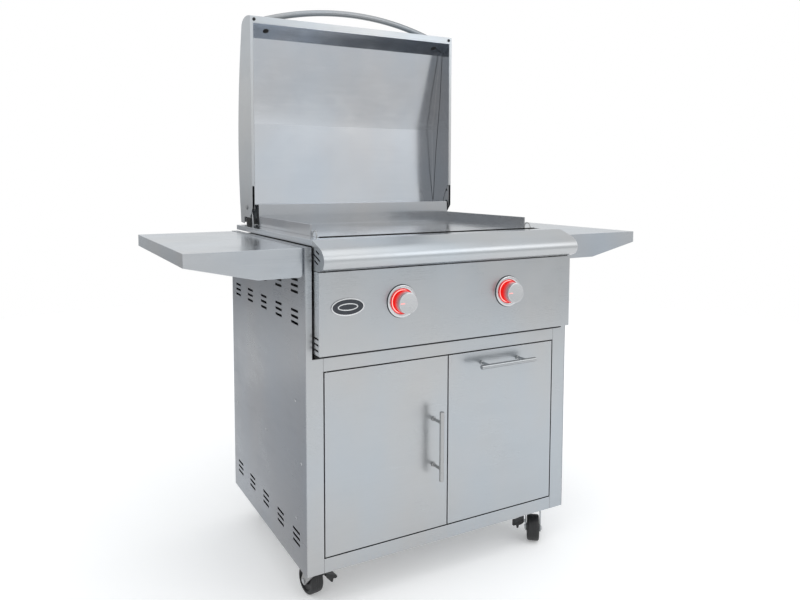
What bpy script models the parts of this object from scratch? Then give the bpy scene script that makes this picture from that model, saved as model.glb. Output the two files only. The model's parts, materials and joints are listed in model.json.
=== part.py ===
"""Flat top gas griddle on a wheeled cabinet cart with fold-down side shelves.

Sizes are metres. Every position is given from three planes of the cart: X from its middle, depth
behind its front face, and height above its underside. spot() turns these into world places.
The lid rests open, the griddle plate rests in the deck, and doors and shelves rest shut and level.
"""

import math

import bmesh
import bpy
from mathutils import Matrix, Vector

# Cart
CASTER_HEIGHT = 0.100
CART_FRONT = -0.2941
CART_HALF = 0.4023
CART_DEPTH = 0.594
CART_HEIGHT = 0.798
SHEET = 0.0012
GAP = 0.0003
OPENING_HALF = 0.3563
OPENING_LOW = 0.0355
OPENING_HIGH = 0.499
FRAME_DEPTH = 0.020
RAIL_TOP = 0.5315
DOOR_GAP = 0.003
DOOR_THICK = 0.018

# Head
HEAD_HALF = 0.381
DECK_TOP = 0.8145
DECK_FRONT = 0.005
DECK_BACK = 0.612
PANEL_FRONT = -0.0366
PANEL_LOW = 0.5453
PANEL_HIGH = 0.7420
KNOB_X = 0.163
KNOB_HEIGHT = 0.659
PUSH = 0.004
PLATE_HALF = 0.3412
PLATE_FRONT = 0.0667
PLATE_BACK = 0.530
PLATE_TOP = 0.8153

# Lid
LID_HALF = 0.3577
RIM_DEPTH = 0.5265
RIM_HIGH = 1.4385
LID_AXIS = (0.5785, 0.870)
LID_HANDLE_RADIUS = 0.0095

# Shelves
SHELF_OUT = 0.679
SHELF_IN = 0.403
SHELF_FRONT = 0.008
SHELF_BACK = 0.586
SHELF_AXIS = (0.4125, 0.7375)
SHELF_ROUND = 0.0095

# Drawer and its slides
TRAY_MIDDLE = 0.179
TRAY_HALF = 0.165
SLIDE_FRONT = 0.045
SLIDE_BACK = 0.560

# Casters: where the four stand, the way each one trails, and the wheel
CASTER_X = 0.347
CASTER_DEPTHS = (0.061, 0.533)
TRAIL = 0.036
WHEEL_RADIUS = 0.0365
WHEEL_HALF = 0.0175
LEG_INNER = 0.0195
LEG_OUTER = 0.0220
PEDAL_AXIS = (0.0280, -0.0520)
PEDAL_START = 0.004
PEDAL_END = 0.030

PARTS = "Flat top griddle"
CUTTERS = "Cutters"


def clear_scene():
    for obj in list(bpy.data.objects):
        bpy.data.objects.remove(obj, do_unlink=True)


def collection(name):
    made = bpy.data.collections.get(name)
    if made is None:
        made = bpy.data.collections.new(name)
        bpy.context.scene.collection.children.link(made)
    return made


def material(name, colour, metallic, roughness):
    made = bpy.data.materials.new(name)
    made.use_nodes = True
    shader = made.node_tree.nodes["Principled BSDF"]
    shader.inputs["Base Color"].default_value = (*colour, 1.0)
    shader.inputs["Metallic"].default_value = metallic
    shader.inputs["Roughness"].default_value = roughness
    made.diffuse_color = (*colour, 1.0)
    return made


def steel():
    return ("steel", (0.62, 0.63, 0.64), 1.0, 0.32)


def dark():
    return ("dark", (0.03, 0.03, 0.032), 0.0, 0.55)


def spot(x, depth, height):
    """World place of a point given by the cart's three planes."""
    return Vector((x, CART_FRONT + depth, CASTER_HEIGHT + height))


def finish(obj, look):
    """Puts a sub-part in the object's collection with a material of its own."""
    collection(PARTS).objects.link(obj)
    kind, colour, metallic, roughness = look
    obj.data.materials.append(material(f"{obj.name}_{kind}", colour, metallic, roughness))
    return obj


def helper(obj):
    """Marks an object as a cutter or an added shape, which isn't a sub-part itself."""
    collection(CUTTERS).objects.link(obj)
    obj.hide_render = True
    obj.display_type = "WIRE"
    return obj


def place(obj, look):
    return helper(obj) if look is None else finish(obj, look)


def mesh_object(name, mesh_edit, location, look):
    """A new mesh object at location, whose shape is what mesh_edit leaves in a bmesh."""
    mesh = bpy.data.meshes.new(name)
    shape = bmesh.new()
    mesh_edit(shape)
    bmesh.ops.recalc_face_normals(shape, faces=shape.faces)
    shape.to_mesh(mesh)
    shape.free()
    obj = bpy.data.objects.new(name, mesh)
    obj.location = location
    return place(obj, look)


def box(name, xs, depths, heights, look=None):
    """A block between two X values, two depths and two heights."""
    size = Vector((xs[1] - xs[0], depths[1] - depths[0], heights[1] - heights[0]))
    centre = spot(sum(xs) / 2, sum(depths) / 2, sum(heights) / 2)

    def edit(shape):
        bmesh.ops.create_cube(shape, size=1.0, matrix=Matrix.Diagonal((*size, 1.0)))

    return mesh_object(name, edit, centre, look)


def rod(name, centre, radius, length, axis="Z", sides=24, look=None):
    """A cylinder about a world axis, centred on a world place."""
    turn = {"X": Matrix.Rotation(math.pi / 2, 4, "Y"), "Y": Matrix.Rotation(math.pi / 2, 4, "X")}

    def edit(shape):
        bmesh.ops.create_cone(
            shape, cap_ends=True, segments=sides, radius1=radius, radius2=radius, depth=length,
            matrix=turn.get(axis, Matrix.Identity(4)),
        )

    return mesh_object(name, edit, centre, look)


def prism(name, outline, axis, start, end, look=None):
    """An outline drawn across one axis and pushed along it from start to end.

    Across X the outline is (depth, height), across Y (x, height) and across Z (x, depth).
    """
    base = spot(0.0, 0.0, 0.0)

    def corner(first, second):
        if axis == "X":
            return Vector((start, first, second))
        if axis == "Y":
            return Vector((first, start, second))
        return Vector((first, second, start))

    push = {"X": Vector((1, 0, 0)), "Y": Vector((0, 1, 0)), "Z": Vector((0, 0, 1))}[axis]

    def edit(shape):
        face = shape.faces.new([shape.verts.new(corner(*point)) for point in outline])
        pushed = bmesh.ops.extrude_face_region(shape, geom=[face])
        moved = [item for item in pushed["geom"] if isinstance(item, bmesh.types.BMVert)]
        bmesh.ops.translate(shape, verts=moved, vec=push * (end - start))
        if len(shape.faces) == len(outline) + 1:
            shape.faces.new([edge.verts[0] for edge in face.edges])

    return mesh_object(name, edit, base, look)


def tube(name, points, radius, resolution=2, closed=False, look=None):
    """A round wire or tube through world points, as a closed mesh with its caps welded on."""
    curve = bpy.data.curves.new(name, "CURVE")
    curve.dimensions = "3D"
    curve.bevel_depth = radius
    curve.bevel_resolution = resolution
    curve.use_fill_caps = True
    spline = curve.splines.new("POLY")
    spline.points.add(len(points) - 1)
    for place_on, point in zip(spline.points, points):
        place_on.co = (*point, 1.0)
    spline.use_cyclic_u = closed
    guide = bpy.data.objects.new(f"{name}_route", curve)
    bpy.context.scene.collection.objects.link(guide)
    bpy.context.view_layer.update()
    graph = bpy.context.evaluated_depsgraph_get()
    mesh = bpy.data.meshes.new_from_object(guide.evaluated_get(graph))
    bpy.data.objects.remove(guide, do_unlink=True)
    shape = bmesh.new()
    shape.from_mesh(mesh)
    bmesh.ops.remove_doubles(shape, verts=shape.verts, dist=0.00001)
    bmesh.ops.recalc_face_normals(shape, faces=shape.faces)
    shape.to_mesh(mesh)
    shape.free()
    mesh.materials.clear()
    return place(bpy.data.objects.new(name, mesh), look)


def turned(name, profile, place_at, axis="Y", steps=32, look=None):
    """A profile of (radius, distance along the axis), turned about a world axis through place_at.

    A profile that starts and ends on the axis is a solid, and any other is closed into a ring.
    It runs down the outer side first, from the far end of the axis. Axis Y here means -Y.
    """
    ring = profile[0][0] > 0
    mesh = bpy.data.meshes.new(name)
    shape = bmesh.new()
    corners = [shape.verts.new((radius, 0.0, along)) for radius, along in profile]
    for first, second in zip(corners, corners[1:]):
        shape.edges.new((first, second))
    if ring:
        shape.edges.new((corners[-1], corners[0]))
    shape.to_mesh(mesh)
    shape.free()
    obj = bpy.data.objects.new(name, mesh)
    obj.location = place_at
    turns = {"X": (0.0, math.pi / 2, 0.0), "Y": (math.pi / 2, 0.0, 0.0), "Z": (0.0, 0.0, 0.0)}
    obj.rotation_euler = turns[axis]
    screw = obj.modifiers.new("Turn", "SCREW")
    screw.steps = steps
    screw.render_steps = steps
    screw.use_merge_vertices = True
    screw.merge_threshold = 0.00001
    screw.use_smooth_shade = True
    return place(obj, look)


def join(obj, operation, others):
    for other in others:
        step = obj.modifiers.new(f"{operation.title()} {other.name}", "BOOLEAN")
        step.operation = operation
        step.object = other
    return obj


def cut(obj, *others):
    return join(obj, "DIFFERENCE", others)


def add(obj, *others):
    return join(obj, "UNION", others)


def joined(name, pieces):
    """One cutter object out of several that don't touch each other."""
    mesh = bpy.data.meshes.new(name)
    shape = bmesh.new()
    for piece in pieces:
        part = piece.data.copy()
        part.transform(Matrix.LocRotScale(piece.location, piece.rotation_euler, None))
        shape.from_mesh(part)
        bpy.data.meshes.remove(part)
        bpy.data.objects.remove(piece, do_unlink=True)
    shape.to_mesh(mesh)
    shape.free()
    return helper(bpy.data.objects.new(name, mesh))


def pivot(name, location, turn=0.0, parent=None):
    """An empty on a joint's axis, which the moving sub-parts hang from."""
    empty = bpy.data.objects.new(name, None)
    empty.location = location
    empty.rotation_euler = (0.0, 0.0, turn)
    empty.empty_display_size = 0.03
    collection(PARTS).objects.link(empty)
    hang(parent, empty)
    return empty


def world_matrix(obj):
    """Where an object stands, without waiting for the view layer to update."""
    own = Matrix.LocRotScale(obj.location, obj.rotation_euler, None)
    if obj.parent is None:
        return own
    return world_matrix(obj.parent) @ obj.matrix_parent_inverse @ own


def hang(empty, *objects):
    """Parents objects to an empty and leaves them where they stand."""
    for obj in objects:
        if empty is not None:
            obj.parent = empty
            obj.matrix_parent_inverse = world_matrix(empty).inverted()


def arc(centre, radius, start, end, steps):
    """Points on a circle in a plane, with angles in degrees."""
    angles = [math.radians(start + (end - start) * step / steps) for step in range(steps + 1)]
    return [
        (centre[0] + radius * math.cos(angle), centre[1] + radius * math.sin(angle))
        for angle in angles
    ]


def bezier(first, second, third, fourth, steps):
    """Points on a cubic curve, its first end left out."""
    points = []
    for step in range(1, steps + 1):
        t = step / steps
        weights = ((1 - t) ** 3, 3 * t * (1 - t) ** 2, 3 * t * t * (1 - t), t ** 3)
        knots = (first, second, third, fourth)
        points.append(tuple(sum(w * k[i] for w, k in zip(weights, knots)) for i in (0, 1)))
    return points


def inset(outline, distance):
    """A closed outline moved inwards by distance at every edge, or outwards if it is negative."""
    count = len(outline)
    area = sum(
        outline[i][0] * outline[(i + 1) % count][1] - outline[(i + 1) % count][0] * outline[i][1]
        for i in range(count)
    )
    side = distance if area > 0 else -distance
    moved = []
    for i in range(count):
        here = Vector(outline[i])
        before = (here - Vector(outline[i - 1])).normalized()
        after = (Vector(outline[(i + 1) % count]) - here).normalized()
        normal = Vector((-before.y - after.y, before.x + after.x)).normalized()
        lean = max(0.2, normal.dot(Vector((-after.y, after.x))))
        moved.append(tuple(here + normal * (side / lean)))
    return moved


def hollow_slot(name, x, depth, height, length, tall, rise=0.0):
    """A cutter for one slot through an upright side sheet, which slopes by rise degrees."""
    half, bite = tall / 2, tall / 4
    flat = length / 2 - bite
    outline = [
        (-flat, -half), (flat, -half), (length / 2, -half + bite), (length / 2, half - bite),
        (flat, half), (-flat, half), (-length / 2, half - bite), (-length / 2, -half + bite),
    ]
    tilt = math.radians(rise)
    turn = Matrix.Rotation(tilt, 2)
    leaning = [tuple(Vector((depth, height)) + turn @ Vector(point)) for point in outline]
    return prism(name, leaning, "X", x - 0.004, x + 0.004)


# ---------------------------------------------------------------- cart


def side_panel(side, name):
    """Side sheet with a top flange and three rows of vent slots."""
    outer, inner = side * CART_HALF, side * (CART_HALF - SHEET)
    flange = side * 0.3848
    outline = [
        (outer, 0.0), (outer, CART_HEIGHT), (flange, CART_HEIGHT),
        (flange, CART_HEIGHT - SHEET), (inner, CART_HEIGHT - SHEET), (inner, 0.0),
    ]
    panel = prism(name, outline, "Y", 0.0, CART_DEPTH, steel())
    slots = []
    for row in (0.7015, 0.625, 0.0735):
        for group in (0.067, 0.180, 0.297, 0.416, 0.531):
            for pitch in (-0.015, 0.0, 0.015):
                slots.append(hollow_slot("slot", outer, group, row + pitch, 0.047, 0.0065))
    return cut(panel, joined(f"{name}_slots", slots))


def back_panel():
    """Back sheet with side returns, vent slots and a hole for the gas hose."""
    half, front, back = CART_HALF - SHEET - GAP, CART_DEPTH - 0.014, CART_DEPTH - 0.0006
    outline = [
        (-half, front), (-half, back), (half, back), (half, front),
        (half - SHEET, front), (half - SHEET, back - SHEET),
        (-half + SHEET, back - SHEET), (-half + SHEET, front),
    ]
    panel = prism("cart_back_panel", outline, "Z", 0.0018, 0.790, steel())
    holes = [rod("hose_hole", spot(0.18, CART_DEPTH, 0.40), 0.030, 0.03, "Y")]
    for column in (-0.24, 0.0, 0.24):
        for row in (0.610, 0.625, 0.640, 0.655):
            holes.append(
                box("vent", (column - 0.06, column + 0.06), (0.58, 0.60), (row - 0.003, row + 0.003))
            )
    return cut(panel, joined("back_openings", holes))


def floor_pan():
    half = CART_HALF - SHEET - GAP
    pan = box("cart_floor", (-half, half), (0.0206, 0.5796), (0.0, 0.030), steel())
    inside = box(
        "floor_inside", (-half + 0.0015, half - 0.0015), (0.0221, 0.5781), (0.0015, 0.050)
    )
    return cut(pan, inside)


def front_frame():
    """Stiles, rails and the centre post, all channel sections that open to the back."""
    half = CART_HALF - SHEET - GAP
    frame = box("cart_front_frame", (-half, half), (0.0, FRAME_DEPTH), (0.0, 0.7965), steel())
    lower = box("doorway", (-OPENING_HALF, OPENING_HALF), (-0.01, 0.03), (OPENING_LOW, OPENING_HIGH))
    upper = box("head_seat", (-0.3845, 0.3845), (-0.01, 0.03), (RAIL_TOP, 0.82))
    channel = box(
        "frame_channel", (-half + SHEET, half - SHEET), (SHEET, 0.03), (SHEET, 0.7965 - SHEET)
    )
    wide = OPENING_HALF + SHEET
    lower_wall = box(
        "doorway_walls", (-wide, wide), (-0.02, 0.04), (OPENING_LOW - SHEET, OPENING_HIGH + SHEET)
    )
    upper_wall = box(
        "head_seat_walls", (-0.3845 - SHEET, 0.3845 + SHEET), (-0.02, 0.04), (RAIL_TOP - SHEET, 0.84)
    )
    cut(channel, lower_wall, upper_wall)
    cut(frame, lower, upper, channel)
    front, back = FRAME_DEPTH - 0.0008, 0.038
    left, right = -0.022, 0.004
    section = [
        (left, front), (right, front), (right, back), (right - SHEET, back),
        (right - SHEET, front + SHEET), (left + SHEET, front + SHEET), (left + SHEET, back), (left, back),
    ]
    return add(frame, prism("centre_post", section, "Z", 0.0305, 0.505))


def door():
    """Left door, a shallow pan on one long hinge pin, with a bar handle."""
    axis = (-OPENING_HALF + DOOR_GAP + 0.007, 0.006)
    low, high = OPENING_LOW + DOOR_GAP, OPENING_HIGH - DOOR_GAP
    left, right = -OPENING_HALF + DOOR_GAP, -DOOR_GAP / 2
    panel = box("door_panel", (left, right), (0.0, DOOR_THICK), (low, high), steel())
    inner = ((left + 0.001, right - 0.001), (0.001, 0.05), (low + 0.001, high - 0.001))
    inside = box("door_inside", *inner)
    bore = rod("door_pin_bore", spot(*axis, 0.27), 0.0029, 0.6, sides=16)
    cut(panel, inside, bore)
    length = OPENING_HIGH - OPENING_LOW - 2 * GAP
    middle = (OPENING_HIGH + OPENING_LOW) / 2
    rod("door_hinge_pin", spot(*axis, middle), 0.0025, length, sides=16, look=steel())
    posts = ((-0.045, 0.212), (-0.045, 0.334))
    handle = bar_handle("door_handle", (-0.045, 0.181), (-0.045, 0.364), posts)
    hang(pivot("door_axis", spot(*axis, middle)), panel, handle)


def bar_handle(name, low, high, posts):
    """A round bar on two posts, from one (x, height) point to another."""
    stand = -0.040
    ends = [spot(low[0], stand, low[1]), spot(high[0], stand, high[1])]
    bar = tube(name, ends, 0.006, 3, look=steel())
    for number, (x, height) in enumerate(posts):
        foot = [spot(x, stand, height), spot(x, -GAP, height)]
        add(bar, tube(f"{name}_post_{number}", foot, 0.004, 2))
    return bar


def tank_drawer():
    """Right-hand drawer for the gas tank: front, bar handle, ringed tray and telescopic slides."""
    low, high = OPENING_LOW + DOOR_GAP, OPENING_HIGH - DOOR_GAP
    left, right = DOOR_GAP / 2, OPENING_HALF - DOOR_GAP
    front = box("drawer_front", (left, right), (0.0, DOOR_THICK), (low, high), steel())
    inner = ((left + 0.001, right - 0.001), (0.001, 0.05), (low + 0.001, high - 0.001))
    cut(front, box("drawer_inside", *inner))
    posts = ((0.1075, 0.4635), (0.2295, 0.4635))
    handle = bar_handle("drawer_handle", (0.077, 0.4635), (0.260, 0.4635), posts)
    tray_left, tray_right = TRAY_MIDDLE - TRAY_HALF, TRAY_MIDDLE + TRAY_HALF
    tray = box("tank_tray", (tray_left, tray_right), (DOOR_THICK + GAP, 0.545), (0.050, 0.112), steel())
    well = (tray_left + SHEET, tray_right - SHEET)
    inside = box("tray_inside", well, (0.0195, 0.5438), (0.0512, 0.2))
    seat = rod("tank_seat", spot(TRAY_MIDDLE, 0.285, 0.050), 0.104, 0.02, sides=40)
    cut(tray, inside, seat)
    drawer_axis = pivot("drawer_axis", spot(TRAY_MIDDLE, DOOR_THICK, 0.085))
    hang(drawer_axis, front, handle, tray)
    middle_axis = pivot("slide_axis", spot(TRAY_MIDDLE, SLIDE_FRONT, 0.085))
    for side, word in ((-1, "left"), (1, "right")):
        edge = TRAY_MIDDLE + side * TRAY_HALF
        depths = (SLIDE_FRONT, SLIDE_BACK)

        def across(near, far, edge=edge, side=side):
            return tuple(sorted((edge + side * near, edge + side * far)))

        member = box(f"slide_member_{word}", across(0.0003, 0.0057), depths, (0.068, 0.102), steel())
        groove = box(f"groove_{word}", across(0.0003 - 0.01, 0.0025), (0.0, 0.7), (0.073, 0.097))
        hang(middle_axis, cut(member, groove))
        web = box(f"slide_rail_{word}", across(0.0060, 0.0077), depths, (0.0018, 0.106), steel())
        add(web, box(f"rail_foot_{word}", across(0.0065, 0.0285), depths, (0.0018, 0.0033)))


def shelf_outline(side):
    """Apron outline in (x, height), with its inner lower corner round about the hinge."""
    turn = arc(SHELF_AXIS, SHELF_ROUND, 270, 180, 5)
    points = [(SHELF_IN, CART_HEIGHT - 0.001), (SHELF_OUT, CART_HEIGHT - 0.001), (SHELF_OUT, 0.765)]
    points += [(0.5125, turn[0][1]), *turn]
    return [(side * x, height) for x, height in points]


def side_shelf(side, word):
    """Fold-down shelf, a folded sheet that turns on the rod of a bracket fixed to the cart."""
    top = CART_HEIGHT - 0.001
    shelf = prism(f"{word}_shelf", shelf_outline(side), "Y", SHELF_FRONT, SHELF_BACK, steel())
    across = sorted((side * 0.38, side * (SHELF_OUT - SHEET)))
    depths = (SHELF_FRONT + SHEET, SHELF_BACK - SHEET)
    cut(shelf, box(f"{word}_shelf_inside", across, depths, (0.70, top - SHEET)))
    axis_x, axis_height = side * SHELF_AXIS[0], SHELF_AXIS[1]
    bores = []
    for number, depth in enumerate((0.030, 0.558)):
        knuckle = [(axis_x + side * x, axis_height + h) for x, h in arc((0, 0), 0.007, 340, 180, 6)]
        rib = [*knuckle, (axis_x - side * 0.007, top - 0.0006), (axis_x + side * 0.030, top - 0.0006)]
        add(shelf, prism(f"{word}_rib_{number}", rib, "Y", depth, depth + 0.003))
        bores.append(rod("bore", spot(axis_x, depth + 0.0015, axis_height), 0.0033, 0.02, "Y", 16))
    cut(shelf, joined(f"{word}_rib_bores", bores))
    hang(pivot(f"{word}_shelf_axis", spot(axis_x, 0.297, axis_height)), shelf)
    wall = side * (CART_HALF + GAP)
    across = sorted((wall, wall + side * 0.002))
    bracket = box(f"{word}_shelf_bracket", across, (0.040, 0.551), (0.7225, 0.760), steel())
    for number, depth in enumerate((0.040, 0.548)):
        across = sorted((wall + side * 0.001, side * 0.4175))
        add(bracket, box(f"{word}_ear_{number}", across, (depth, depth + 0.003), (0.7290, 0.7460)))
    return add(
        bracket, rod(f"{word}_shelf_rod", spot(axis_x, 0.2955, axis_height), 0.0030, 0.537, "Y", 16)
    )


# ---------------------------------------------------------------- casters


def caster(word, x, depth, heading, with_brake):
    """A plate, a swivelling fork, a wheel and on some a brake pedal, all in the swivel's own frame."""
    top = spot(x, depth, 0.0)
    plate = rod(f"{word}_caster_plate", top - Vector((0, 0, 0.0070)), 0.021, 0.008, look=steel())
    add(plate, box(
        f"{word}_plate_flange", (x - 0.031, x + 0.031), (depth - 0.031, depth + 0.031), (-0.0033, -GAP)
    ))

    around = Matrix.Rotation(heading, 3, "Z")
    drop = WHEEL_RADIUS - CASTER_HEIGHT
    swivel = pivot(f"{word}_swivel_axis", top, heading)
    axle = top + around @ Vector((0, TRAIL, drop))
    roll = pivot(f"{word}_wheel_axis", axle, heading, swivel)
    leg = [
        (0.019, -0.0118), (-0.019, -0.0118), (-0.019, -0.022),
        *arc((TRAIL, drop), 0.011, 200, 380, 8), (0.030, -0.026),
    ]

    def beside(name, outline, low, high, look=None):
        """An outline in (along the trail, height), pushed sideways in the caster's frame."""
        shape = prism(name, outline, "X", low, high, look)
        shape.location = top
        shape.rotation_euler = (0.0, 0.0, heading)
        return shape

    fork = beside(f"{word}_caster_fork", leg, LEG_INNER, LEG_OUTER, steel())
    bridge = [(-0.019, -0.0142), (0.019, -0.0142), (0.019, -0.0115), (-0.019, -0.0115)]
    crown = beside(f"{word}_crown", bridge, -LEG_OUTER, LEG_OUTER)
    ends = [top + around @ Vector((across, TRAIL, drop)) for across in (-0.0245, 0.0245)]
    pin = tube(f"{word}_axle", ends, 0.0040, 3)
    add(fork, crown, beside(f"{word}_leg", leg, -LEG_OUTER, -LEG_INNER), pin)

    profile = [
        (0.0290, WHEEL_HALF), (0.0345, 0.0160), (WHEEL_RADIUS, 0.0120), (WHEEL_RADIUS, -0.0120),
        (0.0345, -0.0160), (0.0290, -WHEEL_HALF), (0.0260, -0.0130), (0.0120, -0.0130),
        (0.0100, -0.0190), (0.0043, -0.0190), (0.0043, 0.0190), (0.0100, 0.0190),
        (0.0120, 0.0130), (0.0260, 0.0130),
    ]
    wheel = turned(f"{word}_caster_wheel", profile, axle, "X", 28, dark())
    wheel.rotation_euler = (math.pi / 2, 0.0, heading + math.pi / 2)
    hang(swivel, fork)
    hang(roll, wheel)
    if with_brake:
        outline = [
            (0.0255, -0.0460), (0.0340, -0.0500), (0.0500, -0.0580), (0.0585, -0.0610),
            (0.0600, -0.0660), (0.0560, -0.0690), (0.0485, -0.0665), (0.0465, -0.0750),
            (0.0420, -0.0750), (0.0400, -0.0660), (0.0310, -0.0610), (0.0255, -0.0545),
        ]

        def edit(shape):
            corners = [shape.verts.new((across, PEDAL_START, up)) for across, up in outline]
            pushed = bmesh.ops.extrude_face_region(shape, geom=[shape.faces.new(corners)])
            moved = [item for item in pushed["geom"] if isinstance(item, bmesh.types.BMVert)]
            bmesh.ops.translate(shape, verts=moved, vec=(0, PEDAL_END - PEDAL_START, 0))
            if len(shape.faces) == len(outline) + 1:
                shape.faces.new(corners)

        pedal = mesh_object(f"{word}_brake_pedal", edit, top, dark())
        pedal.rotation_euler = (0.0, 0.0, heading)
        turn_at = top + around @ Vector((PEDAL_AXIS[0], PEDAL_END - 0.004, PEDAL_AXIS[1]))
        hang(pivot(f"{word}_brake_axis", turn_at, heading, swivel), pedal)
        boss = [
            top + around @ Vector((across, PEDAL_END - 0.004, PEDAL_AXIS[1]))
            for across in (LEG_INNER + 0.001, LEG_OUTER + 0.0025)
        ]
        add(fork, tube(f"{word}_pedal_boss", boss, 0.0050, 2))


# ---------------------------------------------------------------- head


def deck():
    """Top sheet around the griddle plate, with flanges turned down at both sides and the back."""
    top = box("head_deck", (-HEAD_HALF, HEAD_HALF), (DECK_FRONT, DECK_BACK), (0.800, DECK_TOP), steel())
    inner = HEAD_HALF - SHEET
    under = box("deck_under", (-inner, inner), (-0.02, DECK_BACK - SHEET), (0.78, 0.8130))
    opening = box("deck_opening", (-0.3425, 0.3425), (0.045, 0.5325), (0.79, 0.83))
    return cut(top, under, opening)


def firebox():
    """Burner chamber with ledges for the plate, and a shelf in front of it for the grease tray."""
    body = box("firebox", (-0.352, 0.352), (0.0420, 0.552), (0.640, 0.8100), steel())
    chamber = box("chamber", (-0.3505, 0.3505), (0.1135, 0.5505), (0.6415, 0.8070))
    mouth = box("chamber_mouth", (-0.330, 0.330), (0.1135, 0.522), (0.80, 0.83))
    trough = box("trough_space", (-0.3505, 0.3505), (0.0435, 0.1120), (0.7695, 0.83))
    below = box("below_trough", (-0.40, 0.40), (0.00, 0.1120), (0.60, 0.7680))
    ports = [rod("port", spot(side * KNOB_X, 0.113, KNOB_HEIGHT), 0.0125, 0.02, "Y") for side in (-1, 1)]
    return cut(body, add(chamber, mouth), trough, below, joined("burner_ports", ports))


def grease_tray():
    tray = box("grease_tray", (-0.330, 0.330), (0.0460, 0.1095), (0.7700, 0.8075), dark())
    return cut(tray, box("tray_well", (-0.3288, 0.3288), (0.0472, 0.1083), (0.7712, 0.82)))


def control_panel():
    """Front fascia: a pan that opens to the back, with stem holes and slotted cheeks."""
    panel = box(
        "control_panel", (-HEAD_HALF, HEAD_HALF), (PANEL_FRONT, 0.0060), (PANEL_LOW, PANEL_HIGH), steel()
    )
    inside = box(
        "panel_inside", (-HEAD_HALF + SHEET, HEAD_HALF - SHEET), (PANEL_FRONT + SHEET, 0.02),
        (PANEL_LOW + SHEET, PANEL_HIGH - SHEET),
    )
    holes = []
    for side in (-1, 1):
        holes.append(rod("stem_hole", spot(side * KNOB_X, PANEL_FRONT, KNOB_HEIGHT), 0.0070, 0.01, "Y", 16))
        for height in (0.5855, 0.5715, 0.5575):
            holes.append(hollow_slot("slot", side * HEAD_HALF, -0.0165, height, 0.026, 0.0045, 3.0))
    return cut(panel, inside, joined("panel_holes", holes))


def nose_outline():
    """Section of the rolled front edge in (depth, height): a slope down from the deck, then the roll."""
    slope = [(DECK_FRONT - GAP, DECK_TOP), (-0.0300, 0.8020)]
    roll = bezier((-0.0300, 0.8020), (-0.0560, 0.7960), (-0.0710, 0.7780), (-0.0641, 0.7615), 8)
    return slope + roll + [(-0.0584, 0.7518), (-0.0353, 0.7433), (DECK_FRONT - GAP, 0.7433)]


def front_roll():
    """Rolled front edge of the head, a closed-ended shell that opens to the back."""
    outline = nose_outline()
    roll = prism("front_roll", outline, "X", -HEAD_HALF, HEAD_HALF, steel())
    room = inset(outline, 0.0015)
    behind = [(0.03, room[0][1]), *room[1:-1], (0.03, room[-1][1])]
    inside = prism("roll_inside", behind, "X", -HEAD_HALF + 0.0015, HEAD_HALF - 0.0015)
    rows = ((-0.0272, 0.7880, 0.0200), (-0.0218, 0.7760, 0.0400), (-0.0195, 0.7641, 0.0230))
    slots = []
    for side in (-1, 1):
        for depth, height, length in rows:
            slots.append(hollow_slot("slot", side * HEAD_HALF, depth, height, length, 0.0042, 20.4))
    return cut(roll, inside, joined("roll_slots", slots))


def griddle_plate():
    """Cooking plate with low side walls and a leaning splash guard, and its two lifting loops."""
    plate = box(
        "griddle_plate", (-PLATE_HALF, PLATE_HALF), (PLATE_FRONT, PLATE_BACK), (0.8103, 0.8440), steel()
    )
    inner = PLATE_HALF - 0.003
    cut(plate, box("plate_well", (-inner, inner), (0.0, 0.60), (PLATE_TOP, 0.90)))
    cut(plate, box("wall_front", (-0.40, 0.40), (0.0, 0.1105), (PLATE_TOP, 0.90)))
    guard = [
        (0.5205, 0.8125), (0.5205, 0.8505), (0.5225, 0.8790), (0.5245, 0.8790),
        (0.5225, 0.8505), (0.5225, 0.8125),
    ]
    add(plate, prism("splash_guard", guard, "X", -inner - 0.0005, inner + 0.0005))
    lift = pivot("griddle_axis", spot(0.0, 0.298, PLATE_TOP))
    hang(lift, plate)
    for side, word in ((-1, "left"), (1, "right")):
        wire = [
            spot(side * 0.3370, depth, height)
            for depth, height in arc((0.0945, 0.8156), 0.0130, 0, 180, 10)
        ]
        hang(lift, tube(f"{word}_lifting_loop", wire, 0.0015, 2, look=steel()))


def burner(side, word):
    """Hairpin tube burner that starts at its valve and passes through the chamber's front wall."""
    near, far = side * 0.110, side * 0.230
    lift = 0.715
    route = [
        spot(side * KNOB_X, 0.0400, KNOB_HEIGHT), spot(side * KNOB_X, 0.140, KNOB_HEIGHT),
        spot(side * (KNOB_X - 0.010), 0.165, 0.680), spot(side * 0.125, 0.185, 0.705),
        spot(near, 0.215, lift), spot(near, 0.440, lift),
    ]
    route += [spot(side * x, depth, lift) for x, depth in arc((0.170, 0.450), 0.060, 180, 0, 8)[1:-1]]
    route += [spot(far, 0.440, lift), spot(far, 0.180, lift)]
    return tube(f"{word}_burner", route, 0.0110, 2, look=steel())


def gas_manifold():
    """Gas pipe behind the panel, with a valve body on it for each knob."""
    pipe = tube("gas_manifold", [spot(-0.200, 0.012, 0.625), spot(0.330, 0.012, 0.625)], 0.010, 3,
                look=("brass", (0.72, 0.55, 0.28), 1.0, 0.35))
    bores = []
    for side in (-1, 1):
        x = side * KNOB_X
        add(pipe, box(f"valve_body_{side}", (x - 0.015, x + 0.015), (-0.0180, 0.0330), (0.6280, 0.6760)))
        bores.append(rod("bore", spot(x, -0.010, KNOB_HEIGHT), 0.0043, 0.032, "Y", 16))
    return cut(pipe, joined("valve_bores", bores))


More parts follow.
